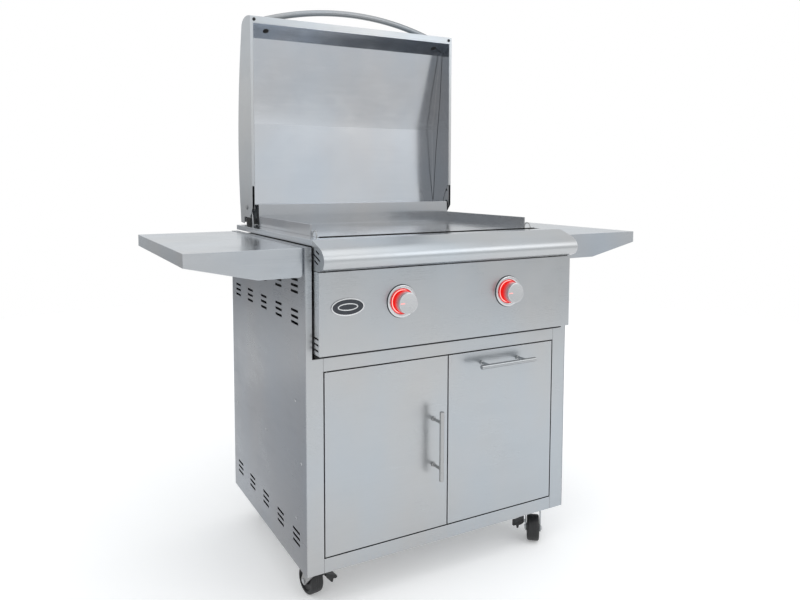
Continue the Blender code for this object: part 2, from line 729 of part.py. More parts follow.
def knob_group(side, word):
    """Bezel and light ring on the panel, and a knob on a stem that is pushed in and turned."""
    here = spot(side * KNOB_X, PANEL_FRONT, KNOB_HEIGHT)
    bezel = [
        (0.0390, 0.0060), (0.0405, 0.0045), (0.0405, GAP),
        (0.0312, GAP), (0.0312, 0.0045), (0.0325, 0.0060),
    ]
    turned(f"{word}_bezel", bezel, here, look=("chrome", (0.80, 0.80, 0.81), 1.0, 0.12))
    ring = [(0.0295, 0.0035), (0.0308, 0.0022), (0.0308, GAP), (0.0210, GAP), (0.0210, 0.0035)]
    turned(f"{word}_light_ring", ring, here, look=("lens", (0.80, 0.05, 0.03), 0.0, 0.3))
    stem = [(0.0, 0.0215), (0.0040, 0.0215), (0.0040, -0.0310), (0.0, -0.0310)]
    press = pivot(f"{word}_push_axis", here)
    hang(press, turned(f"{word}_valve_stem", stem, here, steps=16, look=steel()))
    knob = [
        (0.0, 0.0350), (0.0240, 0.0350), (0.0262, 0.0335), (0.0268, 0.0120), (0.0285, 0.0105),
        (0.0285, 0.0080), (0.0043, 0.0080), (0.0043, 0.0220), (0.0, 0.0220),
    ]
    turning = pivot(f"{word}_knob_axis", here, parent=press)
    hang(turning, turned(f"{word}_knob", knob, here, look=steel()))


def emblem():
    """Plain oval badge on the panel's left side."""
    outline = [(x, height) for x, height in arc((0.0, 0.0), 1.0, 0, 345, 23)]
    oval = [(-0.309 + 0.043 * x, 0.6575 + 0.021 * height) for x, height in outline]
    return prism("emblem", oval, "Y", PANEL_FRONT - 0.0023, PANEL_FRONT - GAP, dark())


# ---------------------------------------------------------------- lid


def lid_outline():
    """Section of the lid in (depth, height) as it stands open: rim in front, crowned skin behind."""
    low_front, top_front = (RIM_DEPTH, 0.867), (RIM_DEPTH, RIM_HIGH)
    shoulder, tail = (0.6105, 1.4260), (0.6410, 0.8208)
    points = [low_front, top_front]
    points += bezier(top_front, (0.5600, 1.4470), (0.5980, 1.4480), shoulder, 6)
    points += bezier(shoulder, (0.6620, 1.2200), (0.6750, 1.0300), tail, 10)
    return points + [(0.6060, 0.8185), (0.6060, 0.8400), (0.5500, 0.8400)]


def lid():
    """Double-walled lid: skin with a turned-in rim, liner pan, arched handle and two bumpers."""
    outline = lid_outline()
    skin = prism("lid_skin", outline, "X", -LID_HALF, LID_HALF, steel())
    room = inset(outline, SHEET)
    room[-3:] = [(room[-4][0], 0.75), (0.54, 0.75)]
    room[0] = (room[0][0], 0.80)
    inside = prism("lid_inside", room, "X", -LID_HALF + SHEET, LID_HALF - SHEET)
    window = box("lid_window", (-0.349, 0.349), (0.50, 0.54), (0.70, 1.419))
    relief = box("hinge_relief", (-LID_HALF + SHEET, LID_HALF - SHEET), (0.50, 0.54), (0.70, 0.935))
    bores = [rod("bore", spot(side * 0.357, *LID_AXIS), 0.0043, 0.02, "X") for side in (-1, 1)]
    cut(skin, inside, window, relief, joined("hinge_bores", bores))

    pan = [
        (0.5268, 0.8780), (0.5268, 1.4187), (0.5850, 1.3858), (0.6330, 1.1300), (0.6310, 0.9880),
        (0.6250, 0.8780),
    ]
    liner = prism("lid_liner", pan, "X", -0.3485, 0.3485, steel())
    hollow = inset(pan, 0.0010)
    hollow[0] = (0.50, hollow[0][1])
    hollow[1] = (0.50, hollow[1][1] + 0.5652 * (hollow[1][0] - 0.50))
    lip = box("liner_lip", (-0.36, 0.36), (0.50, 0.5330), (0.86, 0.8800))
    cut(liner, prism("liner_hollow", hollow, "X", -0.3475, 0.3475), lip)
    notch = [
        (0.50, 0.9350), (0.5330, 0.9350), (0.5500, 0.9060), (0.5590, 0.8850), (0.5610, 0.8600),
        (0.50, 0.8600),
    ]
    for side in (-1, 1):
        cut(liner, prism("hinge_notch", notch, "X", *sorted((side * 0.343, side * 0.36))))

    rise, reach, handle_depth = 0.0560, 0.322, 0.588
    bow = (reach ** 2 + rise ** 2) / (2 * rise)
    swing = math.degrees(math.asin(reach / bow))
    path = [
        spot(x, handle_depth, height)
        for x, height in arc((0.0, 1.490 - bow), bow, 90 + swing, 90 - swing, 24)
    ]
    handle = tube("lid_handle", path, LID_HANDLE_RADIUS, 4, look=steel())
    cut(handle, prism("handle_seat", inset(outline, -GAP), "X", -0.40, 0.40))

    lid_axis = pivot("lid_axis", spot(0.0, *LID_AXIS))
    hang(lid_axis, skin, liner, handle)
    for side, word in ((-1, "left"), (1, "right")):
        at = spot(side * 0.345, RIM_DEPTH - 0.0018, 1.4285)
        hang(lid_axis, rod(f"{word}_lid_bumper", at, 0.005, 0.003, "Y", 20, dark()))
        lid_hinge(side, word)


def lid_hinge(side, word):
    """Fin-shaped hinge bracket on the deck, with the pin that the lid turns on."""
    fin = [
        (0.5350, DECK_TOP + GAP), (0.5950, DECK_TOP + GAP), (0.5945, 0.8650),
        *arc(LID_AXIS, 0.0160, 0, 120, 5), (0.5420, 0.8450),
    ]
    across = sorted((side * 0.3505, side * 0.3535))
    bracket = prism(f"{word}_lid_hinge", fin, "X", *across, steel())
    foot = sorted((side * 0.3440, side * 0.3525))
    add(bracket, box(f"{word}_hinge_foot", foot, (0.5350, 0.5840), (DECK_TOP + GAP, DECK_TOP + 0.0020)))
    add(bracket, rod(f"{word}_hinge_pin", spot(side * 0.3560, *LID_AXIS), 0.0040, 0.009, "X", 20))
    return add(bracket, rod(f"{word}_pin_head", spot(side * 0.3594, *LID_AXIS), 0.0070, 0.0028, "X", 20))


def main():
    clear_scene()
    side_panel(-1, "cart_left_side")
    side_panel(1, "cart_right_side")
    back_panel()
    floor_pan()
    front_frame()
    door()
    tank_drawer()
    for side, word in ((-1, "left"), (1, "right")):
        side_shelf(side, word)
        burner(side, word)
        knob_group(side, word)
    headings = {"front_left": 8.0, "front_right": 141.0, "rear_left": 270.0, "rear_right": 90.0}
    for word, heading in headings.items():
        x = -CASTER_X if word.endswith("left") else CASTER_X
        depth = CASTER_DEPTHS[0] if word.startswith("front") else CASTER_DEPTHS[1]
        caster(word, x, depth, math.radians(heading), word.startswith("front"))
    deck()
    firebox()
    grease_tray()
    control_panel()
    front_roll()
    griddle_plate()
    gas_manifold()
    emblem()
    lid()


main()
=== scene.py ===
"""Looks of the flat top griddle: brushed stainless steel, lit knobs, rubber and casters.

Every visible CAD node is stood for by a finer piece. Thin folded sheets keep the CAD shape and
get rounded bends and edges, and round pieces are turned or piped again with smooth sections.
Places are given as in the CAD model: X from the cart's middle, depth behind the cart's front
and height above its underside, and spot() turns them into frame coordinates.
"""

import json
import math

import bmesh
import bpy
from mathutils import Matrix, Vector

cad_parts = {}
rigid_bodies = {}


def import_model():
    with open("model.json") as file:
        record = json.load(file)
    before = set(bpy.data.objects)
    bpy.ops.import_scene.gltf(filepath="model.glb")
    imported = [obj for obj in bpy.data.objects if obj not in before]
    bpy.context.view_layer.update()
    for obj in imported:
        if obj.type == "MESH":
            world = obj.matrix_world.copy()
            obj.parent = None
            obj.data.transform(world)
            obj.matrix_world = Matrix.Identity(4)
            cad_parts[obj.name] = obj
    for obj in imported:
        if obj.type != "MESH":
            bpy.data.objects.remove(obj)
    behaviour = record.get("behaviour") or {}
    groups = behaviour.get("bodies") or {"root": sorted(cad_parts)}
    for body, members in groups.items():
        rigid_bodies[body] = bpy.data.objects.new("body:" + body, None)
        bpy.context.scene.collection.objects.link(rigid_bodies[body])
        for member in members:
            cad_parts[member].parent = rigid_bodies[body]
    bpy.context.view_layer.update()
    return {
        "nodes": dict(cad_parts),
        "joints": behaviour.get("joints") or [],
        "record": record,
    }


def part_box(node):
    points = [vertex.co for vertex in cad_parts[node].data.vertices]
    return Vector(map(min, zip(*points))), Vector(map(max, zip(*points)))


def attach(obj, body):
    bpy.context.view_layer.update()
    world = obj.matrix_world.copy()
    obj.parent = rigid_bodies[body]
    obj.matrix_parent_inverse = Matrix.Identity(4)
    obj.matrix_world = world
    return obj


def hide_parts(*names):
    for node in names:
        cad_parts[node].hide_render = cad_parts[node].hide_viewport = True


for startup in list(bpy.data.objects):
    bpy.data.objects.remove(startup, do_unlink=True)

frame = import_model()

RECORD = frame["record"]
BODIES = RECORD["behaviour"]["bodies"]
BODY_OF = {node: body for body, nodes in BODIES.items() for node in nodes}
CART_LOW, CART_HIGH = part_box("cart_front_frame")
PANEL_LOW, PANEL_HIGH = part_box("control_panel")
SIDES = ((-1, "left"), (1, "right"))


def spot(x, depth, height):
    return Vector((x, CART_LOW[1] + depth, CART_LOW[2] + height))


# ---------------------------------------------------------------- materials


def wire(tree, kind, settings=None, **inputs):
    """A new shader node with its settings, whose inputs are values or sockets to link."""
    made = tree.nodes.new(kind)
    for key, value in (settings or {}).items():
        setattr(made, key, value)
    for key, value in inputs.items():
        socket = made.inputs[int(key[1:])] if key[0] == "i" and key[1:].isdigit() else made.inputs[key]
        if isinstance(value, bpy.types.NodeSocket):
            tree.links.new(value, socket)
        else:
            socket.default_value = value
    return made


def new_material(name, colour, metallic, roughness):
    made = bpy.data.materials.new(name)
    made.use_nodes = True
    shader = made.node_tree.nodes["Principled BSDF"]
    shader.inputs["Base Color"].default_value = (*colour, 1.0)
    shader.inputs["Metallic"].default_value = metallic
    shader.inputs["Roughness"].default_value = roughness
    made.diffuse_color = (*colour, 1.0)
    return made, made.node_tree, shader


def maths(tree, operation, first, second=0.5):
    return wire(tree, "ShaderNodeMath", {"operation": operation}, i0=first, i1=second).outputs[0]


def ramp(tree, value, low, high, to_low=0.0, to_high=1.0):
    return wire(
        tree, "ShaderNodeMapRange", None, i0=value, i1=low, i2=high, i3=to_low, i4=to_high
    ).outputs[0]


def noise(tree, vector, scale, detail=2.0, rough=0.5):
    made = wire(tree, "ShaderNodeTexNoise", None, Vector=vector, Scale=scale, Detail=detail, Roughness=rough)
    return made.outputs[0]


def stretched(tree, vector, scale):
    return wire(tree, "ShaderNodeMapping", None, Vector=vector, Scale=scale).outputs[0]


def blend_values(tree, factor, first, second):
    made = wire(tree, "ShaderNodeMix", {"data_type": "FLOAT"}, i0=factor, i2=first, i3=second)
    return made.outputs[0]


def blend_colours(tree, factor, first, second):
    made = tree.nodes.new("ShaderNodeMix")
    made.data_type = "RGBA"
    tree.links.new(factor, made.inputs[0])
    for socket, value in ((made.inputs[6], first), (made.inputs[7], second)):
        if isinstance(value, bpy.types.NodeSocket):
            tree.links.new(value, socket)
        else:
            socket.default_value = (*value, 1.0)
    return made.outputs[2]


def edge_mask(tree, radius, gain):
    """1 along sharp edges and 0 on the flats, from how far a rounded normal leaves the real one."""
    rounded = wire(tree, "ShaderNodeBevel", {"samples": 4}, Radius=radius).outputs[0]
    plain = wire(tree, "ShaderNodeNewGeometry").outputs["Normal"]
    alike = wire(tree, "ShaderNodeVectorMath", {"operation": "DOT_PRODUCT"}, i0=rounded, i1=plain)
    return ramp(tree, alike.outputs["Value"], 1.0, 1.0 - gain)


def grain_of(tree, place, fine, long=7.0):
    """Fine lines that run level on upright faces, and along X on level ones."""
    normal = wire(tree, "ShaderNodeTexCoord").outputs["Normal"]
    parts = wire(tree, "ShaderNodeSeparateXYZ", None, Vector=normal).outputs
    sideways = ramp(tree, maths(tree, "ABSOLUTE", parts[0]), 0.6, 0.8)
    along_x = noise(tree, stretched(tree, place, (long, fine, fine)), 1.0, 4.0, 0.65)
    along_y = noise(tree, stretched(tree, place, (fine, long, fine)), 1.0, 4.0, 0.65)
    return blend_values(tree, sideways, along_x, along_y)


def brushed(
    name, colour, roughness=0.30, fine=2400.0, spread=0.08, wear=True, long=9.0, painted_side_tone=1.0, under=1.0
):
    """Brushed stainless sheet: fine level grain, faint streaks, cloudy handling marks, bright edges.

    The last two factors paint light and shade by face direction: the first scales the colour of faces that
    don't face front or back, the second that of undersides.
    """
    made, tree, shader = new_material(name, colour, 1.0, roughness)
    place = wire(tree, "ShaderNodeTexCoord").outputs["Object"]
    grain = grain_of(tree, place, fine, long)
    streaks = grain_of(tree, place, fine * 0.16, long * 0.35)
    clouds = noise(tree, place, 5.5, 4.0, 0.6)
    smears = noise(tree, stretched(tree, place, (9.0, 9.0, 26.0)), 1.0, 3.0, 0.6)
    dim = tuple(value * 0.93 for value in colour)
    bright = tuple(min(1.0, value * 1.06) for value in colour)
    tone = maths(tree, "MULTIPLY_ADD", grain, 0.40)
    tone.node.inputs[2].default_value = 0.30
    tone = blend_values(tree, 0.22, tone, streaks)
    tone = blend_values(tree, 0.30, tone, clouds)
    painted = blend_colours(tree, ramp(tree, tone, 0.30, 0.70), dim, bright)
    rough = ramp(tree, grain, 0.30, 0.70, roughness - spread * 0.5, roughness + spread * 0.5)
    rough = maths(tree, "ADD", rough, ramp(tree, clouds, 0.35, 0.70, -0.02, 0.05))
    rough = maths(tree, "ADD", rough, ramp(tree, smears, 0.52, 0.72, 0.0, 0.05))
    if wear:
        edges = edge_mask(tree, 0.0011, 0.10)
        edges = maths(tree, "MULTIPLY", edges, ramp(tree, noise(tree, place, 90.0), 0.35, 0.60, 0.25, 0.9))
        light = tuple(min(1.0, value * 1.24) for value in colour)
        painted = blend_colours(tree, edges, painted, light)
        rough = maths(tree, "SUBTRACT", rough, maths(tree, "MULTIPLY", edges, 0.08))
    # Painted light and shade by face direction: faces that don't face front or back are scaled by the side
    # factor, and undersides by the underside factor.
    if painted_side_tone != 1.0:
        facing = wire(tree, "ShaderNodeTexCoord").outputs["Normal"]
        parts = wire(tree, "ShaderNodeSeparateXYZ", None, Vector=facing).outputs
        front = maths(tree, "ABSOLUTE", parts[1])
        shade = tuple(value * painted_side_tone for value in colour)
        painted = blend_colours(tree, ramp(tree, front, 0.55, 0.90), shade, painted)
        light = tuple(min(1.0, value * under) for value in colour)
        painted = blend_colours(tree, ramp(tree, parts[2], -0.5, -0.8), painted, light)
    broad = noise(tree, stretched(tree, place, (3.4, 3.4, 2.0)), 1.0, 3.0, 0.5)
    tint = blend_colours(tree, ramp(tree, broad, 0.36, 0.64), (1.0, 0.972, 0.945), (0.945, 0.975, 1.0))
    painted = wire(
        tree, "ShaderNodeMix", {"data_type": "RGBA", "blend_type": "MULTIPLY"}, i0=1.0, i6=painted, i7=tint
    ).outputs[2]
    tree.links.new(painted, shader.inputs["Base Color"])
    tree.links.new(rough, shader.inputs["Roughness"])
    bump = wire(tree, "ShaderNodeBump", None, Strength=0.12, Distance=0.00004, Height=grain)
    tree.links.new(bump.outputs[0], shader.inputs["Normal"])
    return made


def spun(name, colour, roughness, axis_at, lit=None):
    """Steel turned about a Y axis through axis_at, with circular grain.

    lit is (radius, near, far): beyond that radius the steel is painted dark red and glows red itself, painted
    light standing in for the light ring's, less from near to far.
    """
    made, tree, shader = new_material(name, colour, 1.0, roughness)
    place = wire(tree, "ShaderNodeTexCoord").outputs["Object"]
    centred = wire(
        tree, "ShaderNodeVectorMath", {"operation": "SUBTRACT"}, i0=place, i1=tuple(axis_at)
    ).outputs[0]
    flat = stretched(tree, centred, (1.0, 0.0, 1.0))
    radius = wire(tree, "ShaderNodeVectorMath", {"operation": "LENGTH"}, i0=flat).outputs["Value"]
    rings = wire(
        tree, "ShaderNodeTexNoise", {"noise_dimensions": "1D"}, W=maths(tree, "MULTIPLY", radius, 2600.0),
        Scale=1.0, Detail=3.0,
    ).outputs[0]
    dim = tuple(value * 0.84 for value in colour)
    fine = ramp(tree, rings, 0.3, 0.7)
    painted = blend_colours(tree, fine, dim, colour)
    # Painted light from the ring: red colour and red emission on the sides beyond the radius.
    if lit:
        rim, near, far = lit
        ahead = wire(tree, "ShaderNodeSeparateXYZ", None, Vector=centred).outputs[1]
        glow = maths(tree, "MULTIPLY", ramp(tree, radius, rim - 0.0006, rim), ramp(tree, ahead, far, near))
        painted = blend_colours(tree, glow, painted, (0.30, 0.012, 0.010))
        shader.inputs["Emission Color"].default_value = (1.0, 0.014, 0.012, 1.0)
        tree.links.new(maths(tree, "MULTIPLY", glow, 0.62), shader.inputs["Emission Strength"])
    tree.links.new(painted, shader.inputs["Base Color"])
    rough = ramp(tree, rings, 0.3, 0.7, roughness - 0.05, roughness + 0.07)
    tree.links.new(rough, shader.inputs["Roughness"])
    bump = wire(tree, "ShaderNodeBump", None, Strength=0.25, Distance=0.00005, Height=rings)
    tree.links.new(bump.outputs[0], shader.inputs["Normal"])
    return made


def polished(name, colour, roughness):
    """Chrome or brass with faint swirls and small changes in gloss."""
    made, tree, shader = new_material(name, colour, 1.0, roughness)
    place = wire(tree, "ShaderNodeTexCoord").outputs["Object"]
    marks = noise(tree, place, 220.0, 3.0, 0.6)
    tree.links.new(ramp(tree, marks, 0.35, 0.7, roughness * 0.8, roughness * 1.5), shader.inputs["Roughness"])
    dim = tuple(value * 0.9 for value in colour)
    tree.links.new(blend_colours(tree, noise(tree, place, 35.0), dim, colour), shader.inputs["Base Color"])
    return made


def moulded(name, colour, roughness, pebble=900.0, depth=0.00008, dust=0.25):
    """Rubber or plastic: pebbled skin, paler worn edges and a little dust."""
    made, tree, shader = new_material(name, colour, 0.0, roughness)
    place = wire(tree, "ShaderNodeTexCoord").outputs["Object"]
    pebbles = noise(tree, place, pebble, 2.0)
    clouds = noise(tree, place, 45.0, 3.0, 0.6)
    pale = tuple(value * 1.8 + 0.015 for value in colour)
    worn = maths(tree, "MULTIPLY", edge_mask(tree, 0.0012, 0.12), 0.6)
    mottled = blend_colours(tree, ramp(tree, clouds, 0.45, 0.75, 0.0, dust), colour, pale)
    tree.links.new(blend_colours(tree, worn, mottled, pale), shader.inputs["Base Color"])
    rough = ramp(tree, clouds, 0.3, 0.7, roughness - 0.06, roughness + 0.1)
    tree.links.new(rough, shader.inputs["Roughness"])
    bump = wire(tree, "ShaderNodeBump", None, Strength=0.4, Distance=depth, Height=pebbles)
    tree.links.new(bump.outputs[0], shader.inputs["Normal"])
    return made


def lens(name, centre, outer):
    """Lit red ring with a narrow whiter line near its outer edge, over the lamps."""
    made, tree, shader = new_material(name, (0.80, 0.05, 0.03), 0.0, 0.25)
    place = wire(tree, "ShaderNodeTexCoord").outputs["Object"]
    centred = wire(
        tree, "ShaderNodeVectorMath", {"operation": "SUBTRACT"}, i0=place, i1=tuple(centre)
    ).outputs[0]
    flat = stretched(tree, centred, (1.0, 0.0, 1.0))
    radius = wire(tree, "ShaderNodeVectorMath", {"operation": "LENGTH"}, i0=flat).outputs["Value"]
    rim = ramp(tree, maths(tree, "ABSOLUTE", maths(tree, "SUBTRACT", radius, outer - 0.0026)), 0.0011, 0.0005)
    mottle = ramp(tree, noise(tree, place, 160.0, 2.0), 0.3, 0.7, 0.8, 1.1)
    red = blend_colours(tree, rim, (0.62, 0.020, 0.018), (1.0, 0.62, 0.58))
    tree.links.new(red, shader.inputs["Emission Color"])
    tree.links.new(red, shader.inputs["Base Color"])
    tree.links.new(maths(tree, "MULTIPLY", mottle, 1.0), shader.inputs["Emission Strength"])
    return made


STEEL = (0.452, 0.470, 0.488)
LOOKS = {
    "sheet": brushed("brushed sheet", STEEL, 0.30),
    # The fascia's faces that don't face front or back are painted 1.6 times lighter: painted light.
    "fascia": brushed("brushed fascia", STEEL, 0.30, painted_side_tone=1.6),
    # A darker copy of the brushed sheet for the cart's sides and back panel: painted shade.
    "side": brushed("brushed sheet painted darker for sides", (0.318, 0.332, 0.356), 0.30),
    "smooth": brushed("satin sheet", (0.52, 0.545, 0.575), 0.19, spread=0.07),
    "roll": brushed("brushed roll", (0.49, 0.508, 0.525), 0.33, spread=0.08),
    # The plate's faces that don't face front or back are painted 1.32 times lighter than its front guard:
    # painted light.
    "plate": brushed("cooking plate", (0.400, 0.410, 0.425), 0.17, fine=1500.0, painted_side_tone=1.32, under=1.0),
    "inner": brushed("plain inner sheet", (0.40, 0.41, 0.42), 0.38, fine=900.0, wear=False),
    # Near-black sheet for the firebox: painted shade seen through the drip slot.
    "firebox_shade": brushed("firebox sheet darkened as painted shade", (0.115, 0.11, 0.105), 0.42, fine=900.0, wear=False),
    "arch": brushed("satin tube", (0.31, 0.32, 0.33), 0.30, spread=0.08, wear=False),
    # The liner's faces that don't face front or back are painted darker, 0.54 times (painted shade), and its
    # downward faces lighter, 1.55 times (painted light).
    "liner": brushed("lid liner sheet", (0.570, 0.592, 0.625), 0.15, spread=0.05, painted_side_tone=0.54, under=1.55),
    "bar": brushed("brushed bar", (0.40, 0.405, 0.41), 0.26, spread=0.06, wear=False),
    "fastener": polished("bright fastener", (0.52, 0.53, 0.54), 0.26),
    "chrome": polished("chrome", (0.74, 0.745, 0.755), 0.12),
    "brass": polished("brass", (0.72, 0.55, 0.28), 0.30),
    "rubber": moulded("black rubber", (0.008, 0.008, 0.0085), 0.6, dust=0.08),
    "tyre": moulded("tyre rubber", (0.011, 0.011, 0.012), 0.45, 700.0, dust=0.10),
    "plastic": moulded("black plastic", (0.014, 0.014, 0.015), 0.42, 1100.0, 0.00005, 0.10),
    "enamel": moulded("badge enamel", (0.022, 0.026, 0.034), 0.22, 300.0, 0.00001, 0.1),
    # Black for seals, ticks, bolts and joint lines, and for painted shade: the drip slot, the slit over the
    # top rail and the ring round each bezel.
    "black_and_shade": moulded("black seal and painted shade", (0.004, 0.004, 0.0045), 0.8, dust=0.04),
}


# ---------------------------------------------------------------- piece helpers


def dress(obj, look):
    obj.data.materials.clear()
    obj.data.materials.append(LOOKS[look] if isinstance(look, str) else look)
    return obj


def object_from(name, shape, look, crease=35.0):
    """A mesh object from a bmesh, smooth across gentle angles and sharp across the rest."""
    for face in shape.faces:
        face.smooth = True
    for edge in shape.edges:
        edge.smooth = len(edge.link_faces) == 2 and edge.calc_face_angle(0.0) < math.radians(crease)
    mesh = bpy.data.meshes.new(name)
    shape.to_mesh(mesh)
    shape.free()
    obj = bpy.data.objects.new(name, mesh)
    bpy.context.scene.collection.objects.link(obj)
    weigh = obj.modifiers.new("Even normals", "WEIGHTED_NORMAL")
    weigh.keep_sharp = True
    return dress(obj, look)


def stand_for(obj, *nodes):
    """obj is shown instead of these nodes, on their body."""
    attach(obj, BODY_OF[nodes[0]])
    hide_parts(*nodes)
    return obj


def detail(obj, like):
    """obj is an added detail that goes with a node's body."""
    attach(obj, BODY_OF[like])
    return obj


def width_across(face, edge):
    return face.calc_area() / max(edge.calc_length(), 1e-6)


def soften(shape, bend, edge_size):
    """Rounds the folded corners of a shape by bend, then takes the sharpness off its other edges."""
    sharp = math.radians(30)
    if bend:
        folds = [
            edge for edge in shape.edges
            if len(edge.link_faces) == 2 and edge.calc_face_angle_signed(0.0) > sharp
            and min(width_across(face, edge) for face in edge.link_faces) > 3.2 * bend
        ]
        bmesh.ops.bevel(
            shape, geom=folds, offset=bend, segments=3, profile=0.5, affect="EDGES", clamp_overlap=True
        )
    if edge_size:
        rest = [
            edge for edge in shape.edges
            if len(edge.link_faces) == 2 and abs(edge.calc_face_angle_signed(0.0)) > sharp
        ]
        bmesh.ops.bevel(
            shape, geom=rest, offset=edge_size, segments=2, profile=0.5, affect="EDGES", clamp_overlap=True
        )


def node_shape(node):
    """A CAD node's mesh with its flat faces whole again."""
    shape = bmesh.new()
    shape.from_mesh(frame["nodes"][node].data)
    bmesh.ops.remove_doubles(shape, verts=shape.verts, dist=0.000004)
    bmesh.ops.dissolve_degenerate(shape, dist=0.00002, edges=shape.edges)
    bmesh.ops.dissolve_limit(
        shape, angle_limit=math.radians(0.8), verts=shape.verts, edges=shape.edges,
        use_dissolve_boundaries=False,
    )
    return shape


def refine(node, look, bend=0.0, edge_size=0.0002, crease=35.0):
    """A finer copy of a CAD node, with rounded bends and broken edges."""
    shape = node_shape(node)
    soften(shape, bend, edge_size)
    return stand_for(object_from(f"{node}_piece", shape, look, crease), node)


def lathe(name, profile, at, direction, look, steps=72):
    """A profile of (radius, distance along direction), turned about a line through at."""
    shape = bmesh.new()
    corners = [shape.verts.new((radius, 0.0, along)) for radius, along in profile]
    edges = [shape.edges.new(pair) for pair in zip(corners, corners[1:])]
    if profile[0][0] > 0 and profile[-1][0] > 0:
        edges.append(shape.edges.new((corners[-1], corners[0])))
    bmesh.ops.spin(
        shape, geom=corners + edges, cent=(0, 0, 0), axis=(0, 0, 1), angle=math.tau, steps=steps,
        use_merge=True,
    )
    bmesh.ops.remove_doubles(shape, verts=shape.verts, dist=0.000005)
    bmesh.ops.recalc_face_normals(shape, faces=shape.faces)
    turn = Vector(direction).to_track_quat("Z", "Y").to_matrix().to_4x4()
    bmesh.ops.transform(shape, matrix=Matrix.Translation(at) @ turn, verts=shape.verts)
    return object_from(name, shape, look)


def pipe(name, points, radius, look, sides=6, smooth=False):
    """A round bar through the points."""
    curve = bpy.data.curves.new(name, "CURVE")
    curve.dimensions = "3D"
    curve.bevel_depth = radius
    curve.bevel_resolution = sides
    curve.use_fill_caps = True
    spline = curve.splines.new("NURBS" if smooth else "POLY")
    spline.points.add(len(points) - 1)
    for knot, point in zip(spline.points, points):
        knot.co = (*point, 1.0)
    if smooth:
        spline.use_endpoint_u = True
        spline.order_u = 4
        spline.resolution_u = 6
    guide = bpy.data.objects.new(name, curve)
    bpy.context.scene.collection.objects.link(guide)
    bpy.context.view_layer.update()
    mesh = bpy.data.meshes.new_from_object(guide.evaluated_get(bpy.context.evaluated_depsgraph_get()))
    bpy.data.objects.remove(guide, do_unlink=True)
    shape = bmesh.new()
    shape.from_mesh(mesh)
    bpy.data.meshes.remove(mesh)
    bmesh.ops.remove_doubles(shape, verts=shape.verts, dist=0.000005)
    bmesh.ops.recalc_face_normals(shape, faces=shape.faces)
    return object_from(name, shape, look)


def block(name, low, high, look, edge_size=0.0003):
    """A box between two corners with broken edges."""
    size = Vector(high) - Vector(low)
    centre = (Vector(high) + Vector(low)) / 2
    shape = bmesh.new()
    bmesh.ops.create_cube(shape, size=1.0, matrix=Matrix.Translation(centre) @ Matrix.Diagonal((*size, 1.0)))
    soften(shape, 0.0, edge_size)
    return object_from(name, shape, look)


def merged(name, pieces):
    """Several pieces as one object, with the first one's material."""
    shape = bmesh.new()
    look = pieces[0].data.materials[0]
    for piece in pieces:
        shape.from_mesh(piece.data)
        bpy.data.objects.remove(piece, do_unlink=True)
    return object_from(name, shape, look)


def screw(name, at, direction, radius=0.0042, height=0.0016, look="fastener"):
    """A low domed screw head with a cross recess."""
    dome = [(0.0, height)]
    dome += [(radius * math.sin(a), height * math.cos(a) ** 0.7) for a in (0.35, 0.7, 1.0, 1.25, 1.45)]
    dome += [(radius, 0.0), (0.0, 0.0)]
    head = lathe(f"{name} head", dome, at, direction, look, 28)
    turn = Vector(direction).to_track_quat("Z", "Y").to_matrix().to_4x4()
    bars = bmesh.new()
    for size in ((radius * 1.05, radius * 0.24), (radius * 0.24, radius * 1.05)):
        deep = Matrix.Translation((0, 0, height)) @ Matrix.Diagonal((*size, height * 0.9, 1.0))
        bmesh.ops.create_cube(bars, size=1.0, matrix=Matrix.Translation(at) @ turn @ deep)
    cross = bpy.data.meshes.new(f"{name} cross")
    bars.to_mesh(cross)
    bars.free()
    cutter = bpy.data.objects.new(f"{name} cutter", cross)
    bpy.context.scene.collection.objects.link(cutter)
    trimmed = carve(head, cutter)
    trimmed.name = name
    return trimmed


def carve(obj, *cutters):
    """Cuts the cutters from obj for good and removes them."""
    for cutter in cutters:
        step = obj.modifiers.new("Carve", "BOOLEAN")
        step.object = cutter
        step.operation = "DIFFERENCE"
        step.use_self = True
    bpy.context.view_layer.update()
    mesh = bpy.data.meshes.new_from_object(obj.evaluated_get(bpy.context.evaluated_depsgraph_get()))
    look = obj.data.materials[0]
    name = obj.name
    for gone in (obj, *cutters):
        bpy.data.objects.remove(gone, do_unlink=True)
    shape = bmesh.new()
    shape.from_mesh(mesh)
    bpy.data.meshes.remove(mesh)
    return object_from(name, shape, look)


# ---------------------------------------------------------------- cart


def cart():
    # The side sheets and the back panel take the darker copy of the steel, as painted shade.
    for _, word in SIDES:
        refine(f"cart_{word}_side", "side", 0.0, 0.0002)
    refine("cart_back_panel", "side", 0.0016)
    refine("cart_floor", "inner", 0.0012)
    refine("cart_front_frame", "sheet", 0.0014)
    refine("door_panel", "sheet", 0.0012)
    refine("drawer_front", "sheet", 0.0012)
    refine("tank_tray", "inner", 0.0012)
    refine("door_hinge_pin", "bar", 0.0)
    for _, word in SIDES:
        refine(f"slide_rail_{word}", "inner")
        refine(f"slide_member_{word}", "inner")
    door_seals()
    side_screws()
    back_screws()
    weld_lines()


def side_screws():
    """Five screws on each side sheet, which hold the frame inside."""
    for side, word in SIDES:
        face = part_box(f"cart_{word}_side")[0][0] if side < 0 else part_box(f"cart_{word}_side")[1][0]
        heads = [
            screw(f"side screw {number}", Vector((face, *spot(0, depth, height).yz)), (side, 0, 0), 0.0040)
            for number, (depth, height) in enumerate(
                ((0.555, 0.270), (0.067, 0.417), (0.289, 0.272), (0.029, 0.271), (0.0655, 0.121))
            )
        ]
        detail(merged(f"cart_{word}_screws", heads), f"cart_{word}_side")


